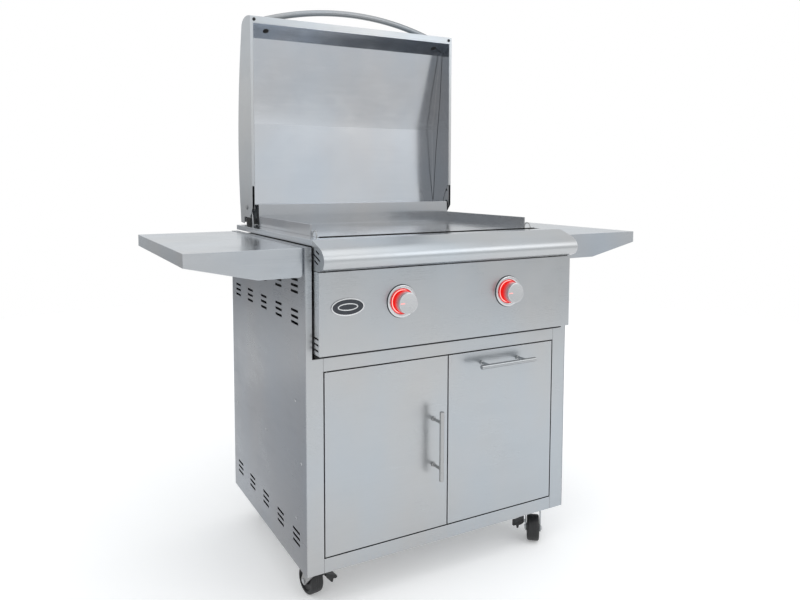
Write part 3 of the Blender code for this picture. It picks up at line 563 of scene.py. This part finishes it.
def back_screws():
    """Screws round the rim of the back panel, and a rubber grommet in its hose hole."""
    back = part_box("cart_back_panel")[1][1]
    spots = [(side * 0.386, height) for side in (-1, 1) for height in (0.05, 0.28, 0.51, 0.74)]
    spots += [(x, height) for x in (-0.2, 0.2) for height in (0.03, 0.765)]
    heads = [
        screw(f"back screw {number}", Vector((x, back, CART_LOW[2] + height)), (0, 1, 0), 0.0040, 0.0005)
        for number, (x, height) in enumerate(spots)
    ]
    detail(merged("cart_back_screws", heads), "cart_back_panel")
    ring = [
        (0.0298, -0.0040), (0.0298, 0.0004), (0.0270, 0.0004), (0.0255, -0.0004), (0.0255, -0.0040),
    ]
    grommet = lathe("hose_grommet", ring, Vector((0.18, back, CART_LOW[2] + 0.40)), (0, 1, 0), "rubber")
    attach(grommet, "cart")


def weld_lines():
    """Ground weld seams where the rails of the front frame meet its stiles."""
    front = CART_LOW[1]
    edge, thin, proud = 0.3563, 0.0003, 0.00006
    seams = []
    for side, word in SIDES:
        for low, high in ((0.4995, 0.5312), (0.0005, 0.0350)):
            x = side * edge
            seams.append(block(
                f"seam {word} {low}",
                (x - thin, front - proud, CART_LOW[2] + low), (x + thin, front + 0.0002, CART_LOW[2] + high),
                "black_and_shade", 0.0,
            ))
    detail(merged("frame_weld_seams", seams), "cart_front_frame")


def door_seals():
    """Black seal strips on the doorway's jambs, and a black strip in the slit over the top rail: a painted
    shadow under the panel's overhang.
    """
    half, low, high, thin = 0.3563, 0.0355, 0.4990, 0.0004
    front, back = 0.0008, 0.0190
    strips = [
        ((-half, low), (-half + thin, high)), ((half - thin, low), (half, high)),
        ((-half, low), (half, low + thin)), ((-half, high - thin), (half, high)),
    ]
    pieces = [
        block(f"strip {number}", spot(start[0], front, start[1]), spot(end[0], back, end[1]), "black_and_shade", 0.0)
        for number, (start, end) in enumerate(strips)
    ]
    pieces.append(block("post", spot(-0.0135, 0.0186, low), spot(0.0035, 0.0191, high), "black_and_shade", 0.0))
    # A black strip under the control panel's bottom edge: painted shadow of the panel's overhang.
    pieces.append(block("overhang_shadow", spot(-0.379, -0.0080, 0.5345), spot(0.379, 0.0050, 0.5440), "black_and_shade", 0.0))
    seals = merged("doorway_seals", pieces)
    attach(seals, "cart")


def bar(node, level):
    """A bar handle: round bar with eased ends on two posts with collars."""
    low, high = (Vector(corner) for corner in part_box(node))
    radius = 0.0060
    stand = low.y + radius
    middle = (low + high) / 2
    if level:
        ends = (Vector((low.x, stand, middle.z)), Vector((high.x, stand, middle.z)))
        feet = (Vector((0.1075, 0, middle.z)), Vector((0.2295, 0, middle.z)))
        along = Vector((1, 0, 0))
    else:
        ends = (Vector((middle.x, stand, low.z)), Vector((middle.x, stand, high.z)))
        feet = (Vector((middle.x, 0, CART_LOW[2] + 0.212)), Vector((middle.x, 0, CART_LOW[2] + 0.334)))
        along = Vector((0, 0, 1))
    length = (ends[1] - ends[0]).length
    section = [(0.0, length), (radius - 0.0012, length), (radius - 0.0004, length - 0.0005)]
    section += [(radius, length - 0.0016), (radius, 0.0016), (radius - 0.0004, 0.0005)]
    section += [(radius - 0.0012, 0.0), (0.0, 0.0)]
    pieces = [lathe(f"{node} bar", section, ends[0], along, "bar", 40)]
    for number, foot in enumerate(feet):
        at = Vector((foot.x, CART_LOW[1] - 0.0003, foot.z))
        reach = at.y - stand
        post = [
            (0.0, reach), (0.0040, reach), (0.0040, 0.0045), (0.0058, 0.0038), (0.0062, 0.0030),
            (0.0062, 0.0), (0.0, 0.0),
        ]
        pieces.append(lathe(f"{node} post {number}", post, at, (0, -1, 0), "bar", 32))
    return stand_for(merged(f"{node}_piece", pieces), node)


# ---------------------------------------------------------------- shelves and casters


def shelves():
    for _, word in SIDES:
        refine(f"{word}_shelf", "smooth", 0.0020)
        refine(f"{word}_shelf_bracket", "inner", 0.0, 0.0002)


def casters():
    for corner in ("front_left", "front_right", "rear_left", "rear_right"):
        refine(f"{corner}_caster_plate", "inner", 0.0, 0.0003)
        caster_fork(corner)
        caster_wheel(corner)
        if corner.startswith("front"):
            refine(f"{corner}_brake_pedal", "plastic", 0.0, 0.0009)
        plate_bolts(corner)


def joint_named(name):
    return next(joint for joint in frame["joints"] if joint["name"] == name)


def caster_fork(corner):
    """Pressed fork with raceway cover, and a hex bolt and nut on its axle."""
    refine(f"{corner}_caster_fork", "inner", 0.0, 0.0003)
    roll = joint_named(f"{corner}_roll")
    axle, across = Vector(roll["pos_m"]), Vector(roll["axis"]).normalized()
    for side in (-1, 1):
        face = axle + across * side * 0.0222
        hexagon = [(0.0, 0.0026), (0.0056, 0.0026), (0.0066, 0.0020), (0.0066, 0.0), (0.0, 0.0)]
        nut = lathe(f"{corner}_nut_{(side + 3) // 2}", hexagon, face, across * side, "fastener", 6)
        detail(nut, f"{corner}_caster_fork")
    swivel = Vector(joint_named(f"{corner}_swivel")["pos_m"])
    raceway = [
        (0.0228, -0.0114), (0.0236, -0.0104), (0.0236, -0.0076), (0.0214, -0.0066), (0.0214, -0.0114),
    ]
    detail(lathe(f"{corner}_raceway", raceway, swivel, (0, 0, 1), "inner", 48), f"{corner}_caster_plate")


def caster_wheel(corner):
    """Rubber tyre with a rounded tread and side grooves on a moulded hub."""
    roll = joint_named(f"{corner}_roll")
    axle, across = Vector(roll["pos_m"]), Vector(roll["axis"]).normalized()
    tread = [
        (0.0275, 0.0168), (0.0292, 0.0175), (0.0325, 0.0168), (0.0345, 0.0158), (0.0358, 0.0140),
        (0.0365, 0.0115), (0.0365, 0.0040), (0.0360, 0.0035), (0.0360, 0.0020), (0.0365, 0.0015),
    ]
    tyre = tread + [(radius, -along) for radius, along in reversed(tread)]
    hub = [
        (0.0274, 0.0150), (0.0262, 0.0150), (0.0255, 0.0130), (0.0125, 0.0118), (0.0108, 0.0180),
        (0.0100, 0.0190), (0.0044, 0.0190),
    ]
    hub = hub + [(radius, -along) for radius, along in reversed(hub)]
    rubber = lathe(f"{corner}_caster_wheel_piece", tyre, axle, across, "tyre", 72)
    stand_for(rubber, f"{corner}_caster_wheel")
    core = lathe(f"{corner}_wheel_hub", hub, axle, across, "plastic", 56)
    detail(core, f"{corner}_caster_wheel")


def plate_bolts(corner):
    """Four hex bolts under each caster plate."""
    swivel = Vector(joint_named(f"{corner}_swivel")["pos_m"])
    heads = []
    for number in range(4):
        turn = math.radians(45 + 90 * number)
        at = swivel + Vector((math.cos(turn) * 0.0354, math.sin(turn) * 0.0354, -0.0033))
        hexagon = [(0.0, 0.0028), (0.0042, 0.0028), (0.0050, 0.0022), (0.0050, 0.0), (0.0, 0.0)]
        heads.append(lathe(f"{corner} bolt {number}", hexagon, at, (0, 0, -1), "fastener", 6))
    detail(merged(f"{corner}_plate_bolts", heads), f"{corner}_caster_plate")


# ---------------------------------------------------------------- head

# Control knobs: heights over the panel, the light ring's radii and the scale on the bezel
BEZEL_FRONT = 0.0060
KNOB_FRONT = 0.0346
RING_INNER = 0.0210
RING_OUTER = 0.0308
TICKS = 9
KNOB_TURN = 210.0

# Burners: their height, the tube's radius, the ports beside its crest and their spacing
BURNER_HEIGHT = 0.715
BURNER_RADIUS = 0.0110
PORT_LEAN = 0.006
PORT_STEP = 0.0155
PORTS = 14


def head():
    refine("head_deck", "smooth", 0.0012)
    # The near-black firebox and the black grease tray keep the drip slot dark: painted shade.
    refine("firebox", "firebox_shade", 0.0, 0.0002)
    refine("grease_tray", "black_and_shade", 0.0, 0.0002)
    refine("control_panel", "fascia", 0.0014)
    refine("front_roll", "roll", 0.0, 0.0003)
    refine("griddle_plate", "plate", 0.0, 0.0006)
    refine("gas_manifold", "brass", 0.0, 0.0004)
    for side, word in SIDES:
        knob(side, word)
        burner(side, word)
        loop(side, word)
    badge()
    # A black strip on the plate's front face in the drip slot: painted shadow.
    slot_shadow = block("plate_front_slot_shadow", spot(-0.338, 0.0655, 0.8085), spot(0.338, 0.0664, 0.8163), "black_and_shade", 0.0)
    detail(slot_shadow, "griddle_plate")


def knob(side, word):
    """Bezel with a tick scale, lit ring, stem, and a spun knob with a lit mark at its left."""
    axis = Vector(joint_named(f"{word}_knob_turn")["pos_m"])
    here = Vector((axis.x, PANEL_LOW[1], axis.z))
    out = (0, -1, 0)
    bezel = [
        (0.0312, 0.0003), (0.0312, 0.0042), (0.0318, 0.0054), (0.0330, BEZEL_FRONT), (0.0380, BEZEL_FRONT),
        (0.0395, 0.0055), (0.0404, 0.0044), (0.0405, 0.0003),
    ]
    bright = spun(f"{word} bezel", (0.66, 0.665, 0.675), 0.20, here)
    stand_for(lathe(f"{word}_bezel_piece", bezel, here, out, bright, 96), f"{word}_bezel")
    ring = [
        (RING_INNER, 0.0003), (RING_INNER, 0.0035), (0.0295, 0.0035), (0.0305, 0.0030),
        (RING_OUTER, 0.0022), (RING_OUTER, 0.0003),
    ]
    glass = lens(f"{word} lens", here, RING_OUTER)
    stand_for(lathe(f"{word}_light_ring_piece", ring, here, out, glass, 96), f"{word}_light_ring")
    stem = [(0.0, 0.0215), (0.0036, 0.0215), (0.0040, 0.0211), (0.0040, -0.0310), (0.0, -0.0310)]
    stand_for(lathe(f"{word}_valve_stem_piece", stem, here, out, "bar", 32), f"{word}_valve_stem")
    body = [
        (0.0, KNOB_FRONT), (0.0228, KNOB_FRONT), (0.0236, 0.0350), (0.0246, 0.0349), (0.0258, 0.0342),
        (0.0263, 0.0330), (0.0268, 0.0130), (0.0272, 0.0122), (0.0282, 0.0112), (0.0285, 0.0104),
        (0.0285, 0.0084), (0.0281, 0.0080), (0.0043, 0.0080), (0.0043, 0.0220), (0.0, 0.0220),
    ]
    # Beyond radius 0.0266 the knob's sides are painted red and glow: painted light from the ring.
    face = spun(f"{word} knob face", (0.60, 0.605, 0.615), 0.26, here, (0.0266, -0.0140, -0.0375))
    stand_for(lathe(f"{word}_knob_piece", body, here, out, face, 96), f"{word}_knob")
    front = here.y - KNOB_FRONT
    mark = block(
        f"{word}_knob_mark", (here.x - 0.0222, front - 0.0003, here.z - 0.0009),
        (here.x - 0.0105, front + 0.0002, here.z + 0.0009), GLOW, 0.0001,
    )
    detail(mark, f"{word}_knob")
    bezel_ticks(word, here)
    # A black ring round the bezel's outer edge: a painted shadow that outlines the bezel.
    groove = [(0.0405, 0.0001), (0.0405, 0.0016), (0.0414, 0.0012), (0.0417, 0.0001)]
    shadow_ring = lathe(f"{word}_bezel_shadow_ring", groove, here, out, "black_and_shade", 96)
    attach(shadow_ring, "cart")


def bezel_ticks(word, here):
    """Dark ticks on the bezel over the knob's turn, longer at both ends."""
    ticks = []
    for number in range(TICKS):
        turn = math.radians(180 - KNOB_TURN / (TICKS - 1) * number)
        length, half = (0.0042, 0.0005) if number in (0, TICKS - 1) else (0.0022, 0.0004)
        spin = Matrix.Translation(here + Vector((0, -BEZEL_FRONT, 0))) @ Matrix.Rotation(-turn, 4, "Y")
        size = Matrix.Diagonal((length, 0.0002, half * 2, 1.0))
        shape = bmesh.new()
        bmesh.ops.create_cube(shape, size=1.0, matrix=spin @ Matrix.Translation((0.0356, 0, 0)) @ size)
        ticks.append(object_from(f"{word} tick {number}", shape, "black_and_shade"))
    detail(merged(f"{word}_bezel_ticks", ticks), f"{word}_bezel")


def burner(side, word):
    """Smooth hairpin tube with two rows of flame ports along each leg."""
    near, far, lift = side * 0.110, side * 0.230, BURNER_HEIGHT
    route = [
        spot(side * 0.163, 0.0400, 0.659), spot(side * 0.163, 0.140, 0.659), spot(side * 0.153, 0.165, 0.680),
        spot(side * 0.125, 0.185, 0.705), spot(near, 0.215, lift), spot(near, 0.440, lift),
    ]
    for step in range(1, 16):
        turn = math.pi * (1 - step / 16)
        route.append(spot(side * (0.170 + 0.060 * math.cos(turn)), 0.450 + 0.060 * math.sin(turn), lift))
    route += [spot(far, 0.440, lift), spot(far, 0.180, lift)]
    stand_for(pipe(f"{word}_burner_piece", route, BURNER_RADIUS, "inner", 7), f"{word}_burner")
    rise = math.sqrt(BURNER_RADIUS ** 2 - PORT_LEAN ** 2)
    hole = [(0.0, 0.0004), (0.0014, 0.0003), (0.0014, 0.0), (0.0, 0.0)]
    ports = []
    for x in (near, far):
        for lean in (-PORT_LEAN, PORT_LEAN):
            for number in range(PORTS):
                at = spot(x + lean, 0.225 + PORT_STEP * number, lift + rise - 0.0002)
                ports.append(lathe("port", hole, at, Vector((lean, 0, rise)), "black_and_shade", 10))
    detail(merged(f"{word}_burner_ports", ports), f"{word}_burner")


def loop(side, word):
    """Bent wire lifting loop on the plate's front corner."""
    low, high = (Vector(corner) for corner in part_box(f"{word}_lifting_loop"))
    radius = 0.0015
    reach = (high.y - low.y) / 2 - radius
    middle = Vector(((low.x + high.x) / 2, (low.y + high.y) / 2, high.z - radius - reach))
    points = []
    for step in range(25):
        turn = math.pi * step / 24
        points.append(middle + Vector((0, reach * math.cos(turn), reach * math.sin(turn))))
    feet = [Vector((middle.x, middle.y + offset, low.z)) for offset in (reach, -reach)]
    points = [feet[0], *points, feet[1]]
    stand_for(pipe(f"{word}_lifting_loop_piece", points, radius, "bar", 5), f"{word}_lifting_loop")


def badge():
    """Plain oval badge: dark enamel in a bright rim, with a smaller raised oval."""
    low, high = (Vector(corner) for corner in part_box("emblem"))
    middle = (low + high) / 2
    half = (high - low) / 2

    def oval(name, share, inner, front, back, look):
        shape = bmesh.new()
        count = 72
        loops = []
        for scale, depth in ((share, back), (share, front), (inner, front), (inner, back)):
            loops.append([
                shape.verts.new((
                    middle.x + half.x * scale[0] * math.cos(math.tau * i / count), depth,
                    middle.z + half.z * scale[1] * math.sin(math.tau * i / count),
                )) for i in range(count)
            ] if scale else None)
        rings = [ring for ring in loops if ring]
        pairs = list(zip(rings, rings[1:]))
        if inner:
            pairs.append((rings[-1], rings[0]))
        for first, second in pairs:
            for i in range(count):
                j = (i + 1) % count
                shape.faces.new((first[i], first[j], second[j], second[i]))
        if not inner:
            shape.faces.new(rings[-1])
            shape.faces.new(rings[0])
        bmesh.ops.recalc_face_normals(shape, faces=shape.faces)
        soften(shape, 0.0, 0.0002)
        return object_from(name, shape, look)

    stand_for(oval("emblem_piece", (1, 1), None, low.y + 0.0007, high.y, "enamel"), "emblem")
    rim = oval("emblem_rim", (1, 1), (0.93, 0.86), low.y, low.y + 0.0008, "chrome")
    detail(rim, "emblem")
    inset = oval("emblem_inner_oval", (0.62, 0.42), (0.55, 0.30), low.y + 0.0003, low.y + 0.0008, "chrome")
    detail(inset, "emblem")


# ---------------------------------------------------------------- lid


def lid():
    refine("lid_skin", "roll", 0.0010, 0.0003)
    refine("lid_liner", "liner", 0.0, 0.0002, crease=6.0)
    liner_seams()
    for side, word in SIDES:
        refine(f"{word}_lid_hinge", "inner", 0.0, 0.0003)
        low, high = (Vector(corner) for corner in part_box(f"{word}_lid_bumper"))
        middle = (low + high) / 2
        half, deep = (high.z - low.z) / 2, high.y - low.y
        dome = [
            (0.0, deep), (half * 0.55, deep * 0.95), (half * 0.85, deep * 0.7), (half, deep * 0.3),
            (half, 0), (0, 0),
        ]
        at = Vector((middle.x, high.y, middle.z))
        stand_for(lathe(f"{word}_lid_bumper_piece", dome, at, (0, -1, 0), "rubber", 36), f"{word}_lid_bumper")
        hinge_bolts(side, word)
        hinge_arm(side, word)
    lid_handle()
    liner_plugs()
    strip = block("deck_back_flange", spot(-0.3559, 0.5900, 0.8152), spot(0.3559, 0.5915, 0.8330), "inner")
    detail(strip, "head_deck")


def hinge_bolts(side, word):
    """Dome nut on the hinge pin, two rivets through the hinge's foot, and a black pad beside it."""
    nut = [
        (0.0, 0.0060), (0.0026, 0.0055), (0.0042, 0.0040), (0.0044, 0.0030), (0.0062, 0.0026),
        (0.0066, 0.0), (0, 0),
    ]
    pivot = spot(side * 0.3504, 0.5785, 0.870)
    pieces = [lathe(f"{word} nut", nut, pivot, (-side, 0, 0), "fastener", 12)]
    foot = Vector(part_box("head_deck")[1])
    rivet = [(0.0, 0.0011), (0.0028, 0.0009), (0.0040, 0.0003), (0.0042, 0.0), (0, 0)]
    for depth in (0.5450, 0.5700):
        at = Vector((side * 0.3474, spot(0, depth, 0).y, foot.z + 0.0020))
        pieces.append(lathe(f"{word} rivet {depth}", rivet, at, (0, 0, 1), "fastener", 12))
    detail(merged(f"{word}_hinge_bolts", pieces), f"{word}_lid_hinge")
    start, end = sorted((side * 0.3541, side * 0.3559))
    base = block(f"{word}_hinge_base", spot(start, 0.5480, 0.8152), spot(end, 0.5880, 0.8380), "black_and_shade")
    detail(base, f"{word}_lid_hinge")


def hinge_arm(side, word):
    """Plate behind the notch in the liner's side, held by two dark bolts."""
    face = side * 0.3488
    start, end = sorted((face, side * 0.3500))
    arm = block(f"{word}_hinge_arm", spot(start, 0.5275, 0.8640), spot(end, 0.5605, 0.9340), "inner")
    dome = [(0, 0.0016), (0.0030, 0.0012), (0.0038, 0.0), (0, 0)]
    bolts = [
        lathe(f"{word} arm bolt {height}", dome, spot(face, depth, height), (-side, 0, 0), "black_and_shade", 20)
        for depth, height in ((0.5380, 0.9180), (0.5400, 0.8800))
    ]
    detail(arm, "lid_liner")
    detail(merged(f"{word}_hinge_arm_bolts", bolts), "lid_liner")


def lid_handle():
    """Arched tube handle, wide and low, on the lid's top."""
    low, high = (Vector(corner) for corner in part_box("lid_handle"))
    radius = 0.0095
    crown, foot = high.z - radius, CART_LOW[2] + 1.434
    reach = 0.322
    depth = (low.y + high.y) / 2
    rise = crown - foot
    bow = (reach ** 2 + rise ** 2) / (2 * rise)
    swing = math.asin(reach / bow)
    points = []
    for step in range(65):
        turn = swing - 2 * swing * step / 64
        points.append(Vector((-bow * math.sin(turn), depth, crown - bow + bow * math.cos(turn))))
    stand_for(pipe("lid_handle_piece", points, radius, "arch", 10), "lid_handle")


def liner_seams():
    """Dark joint line on each side wall of the liner, where its side flange meets the back sheet."""
    line = ((0.5703, 1.3870), (0.5823, 1.2332), (0.6062, 1.0592), (0.6226, 0.8810))
    half_width = 0.0013
    for side, word in SIDES:
        shape = bmesh.new()
        rows = [
            [
                shape.verts.new(spot(side * x, depth + shift, height))
                for x in (0.3473, 0.3476) for shift in (-half_width, half_width)
            ]
            for depth, height in line
        ]
        for first, second in zip(rows, rows[1:]):
            for a, b in ((0, 1), (1, 3), (3, 2), (2, 0)):
                shape.faces.new((first[a], first[b], second[b], second[a]))
        for end in (rows[0], rows[-1]):
            shape.faces.new((end[0], end[1], end[3], end[2]))
        bmesh.ops.recalc_face_normals(shape, faces=shape.faces)
        detail(object_from(f"{word}_liner_seam", shape, "black_and_shade"), "lid_liner")


def liner_plugs():
    """Two black oval plugs in the liner's slanted front wall."""
    for side, word in SIDES:
        normal = Vector((0, -0.4915, -0.8709)).normalized()
        at = spot(side * 0.300, 0.5530, 1.4030)
        dome = [(0.0, 0.0026), (0.0050, 0.0024), (0.0084, 0.0016), (0.0095, 0.0), (0.0, 0.0)]
        plug = lathe(f"{word}_liner_plug", dome, at, normal, "rubber", 36)
        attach(plug, "lid")


# ---------------------------------------------------------------- stage


def stage():
    """White studio: pale floor, soft surroundings that are brighter in front and above, soft boxes."""
    scene = bpy.context.scene
    shape = bmesh.new()
    bmesh.ops.create_circle(shape, cap_ends=True, segments=96, radius=4.2)
    mesh = bpy.data.meshes.new("floor")
    shape.to_mesh(mesh)
    shape.free()
    floor = bpy.data.objects.new("floor", mesh)
    scene.collection.objects.link(floor)
    paper, tree, shader = new_material("floor paper", (0.88, 0.88, 0.88), 0.0, 0.9)
    shader.inputs["Emission Color"].default_value = (1.0, 1.0, 1.0, 1.0)
    shader.inputs["Emission Strength"].default_value = 0.22
    shader.inputs["Specular IOR Level"].default_value = 0.1
    floor.data.materials.append(paper)

    world = bpy.data.worlds.new("studio")
    scene.world = world
    world.use_nodes = True
    tree = world.node_tree
    out = tree.nodes["World Output"]
    plain = tree.nodes["Background"]
    plain.inputs["Color"].default_value = (1, 1, 1, 1)
    way = wire(tree, "ShaderNodeTexCoord").outputs["Generated"]
    fore = wire(
        tree, "ShaderNodeVectorMath", {"operation": "DOT_PRODUCT"}, i0=way, i1=(-0.30, -0.954, 0.0)
    ).outputs["Value"]
    height = wire(tree, "ShaderNodeSeparateXYZ", None, Vector=way).outputs[2]
    above = ramp(tree, fore, -0.9, 0.9, 0.90, 0.98)
    below = ramp(tree, fore, -0.7, 1.0, 0.30, 0.86)
    strength = blend_values(tree, ramp(tree, height, -0.20, 0.12), below, above)
    surround = wire(
        tree, "ShaderNodeBackground", None, Color=(0.965, 0.985, 1.0, 1.0), Strength=strength
    )
    seen = wire(tree, "ShaderNodeLightPath").outputs["Is Camera Ray"]
    mixed = wire(tree, "ShaderNodeMixShader", None, i0=seen, i1=surround.outputs[0], i2=plain.outputs[0])
    tree.links.new(mixed.outputs[0], out.inputs["Surface"])

    def softbox(name, at, aim, size, power):
        light = bpy.data.lights.new(name, "AREA")
        light.shape = "RECTANGLE"
        light.size, light.size_y = size
        light.energy = power
        obj = bpy.data.objects.new(name, light)
        obj.location = at
        obj.rotation_euler = (Vector(aim) - Vector(at)).to_track_quat("-Z", "Y").to_euler()
        scene.collection.objects.link(obj)

    flag("left_flag", (-1.05, 1.30, 0.01), (-0.9, 4.6, 0.0), (0.0, 0.0, 0.92), 0.32)
    flag("floor_flag", (-0.46, -0.25, 0.004), (-0.35, 1.9, 0.0), (-0.95, -0.15, 0.0), 0.60)
    softbox("key", (2.4, -3.2, 3.0), (0.0, 0.0, 0.8), (2.6, 2.2), 22.0)
    softbox("top", (0.0, -0.6, 4.0), (0.0, 0.0, 0.8), (3.6, 3.0), 26.0)


def flag(name, corner, along, across, glow):
    """A grey card that only reflections see, as a studio uses to shade one side of bare metal."""
    shape = bmesh.new()
    low = [Vector(corner), Vector(corner) + Vector(along)]
    corners = [*low, *(point + Vector(across) for point in reversed(low))]
    shape.faces.new([shape.verts.new(point) for point in corners])
    mesh = bpy.data.meshes.new(name)
    shape.to_mesh(mesh)
    shape.free()
    card = bpy.data.objects.new(name, mesh)
    bpy.context.scene.collection.objects.link(card)
    cloth, _, shader = new_material(f"{name} cloth", (0.02, 0.02, 0.02), 0.0, 1.0)
    shader.inputs["Emission Color"].default_value = (0.92, 0.95, 1.0, 1.0)
    shader.inputs["Emission Strength"].default_value = glow
    mesh.materials.append(cloth)
    card.visible_camera = False
    card.visible_diffuse = False
    card.visible_shadow = False


def camera():
    data = bpy.data.cameras.new("camera")
    data.lens = 31.12
    data.sensor_width = 36.0
    data.shift_x = 0.0302
    data.shift_y = -0.0883
    data.clip_end = 60.0
    obj = bpy.data.objects.new("camera", data)
    obj.location = (-1.0002, -1.7815, 1.0587)
    obj.rotation_euler = (math.pi / 2 - 0.0738, 0.0, -0.4857)
    bpy.context.scene.collection.objects.link(obj)
    bpy.context.scene.camera = obj
    bpy.context.scene.view_settings.view_transform = "Standard"


GLOW, glow_tree, glow_shader = new_material("lit mark", (0.9, 0.25, 0.22), 0.0, 0.3)
glow_shader.inputs["Emission Color"].default_value = (1.0, 0.30, 0.26, 1.0)
glow_shader.inputs["Emission Strength"].default_value = 0.8

camera()
stage()
cart()
bar("door_handle", False)
bar("drawer_handle", True)
shelves()
casters()
head()
lid()
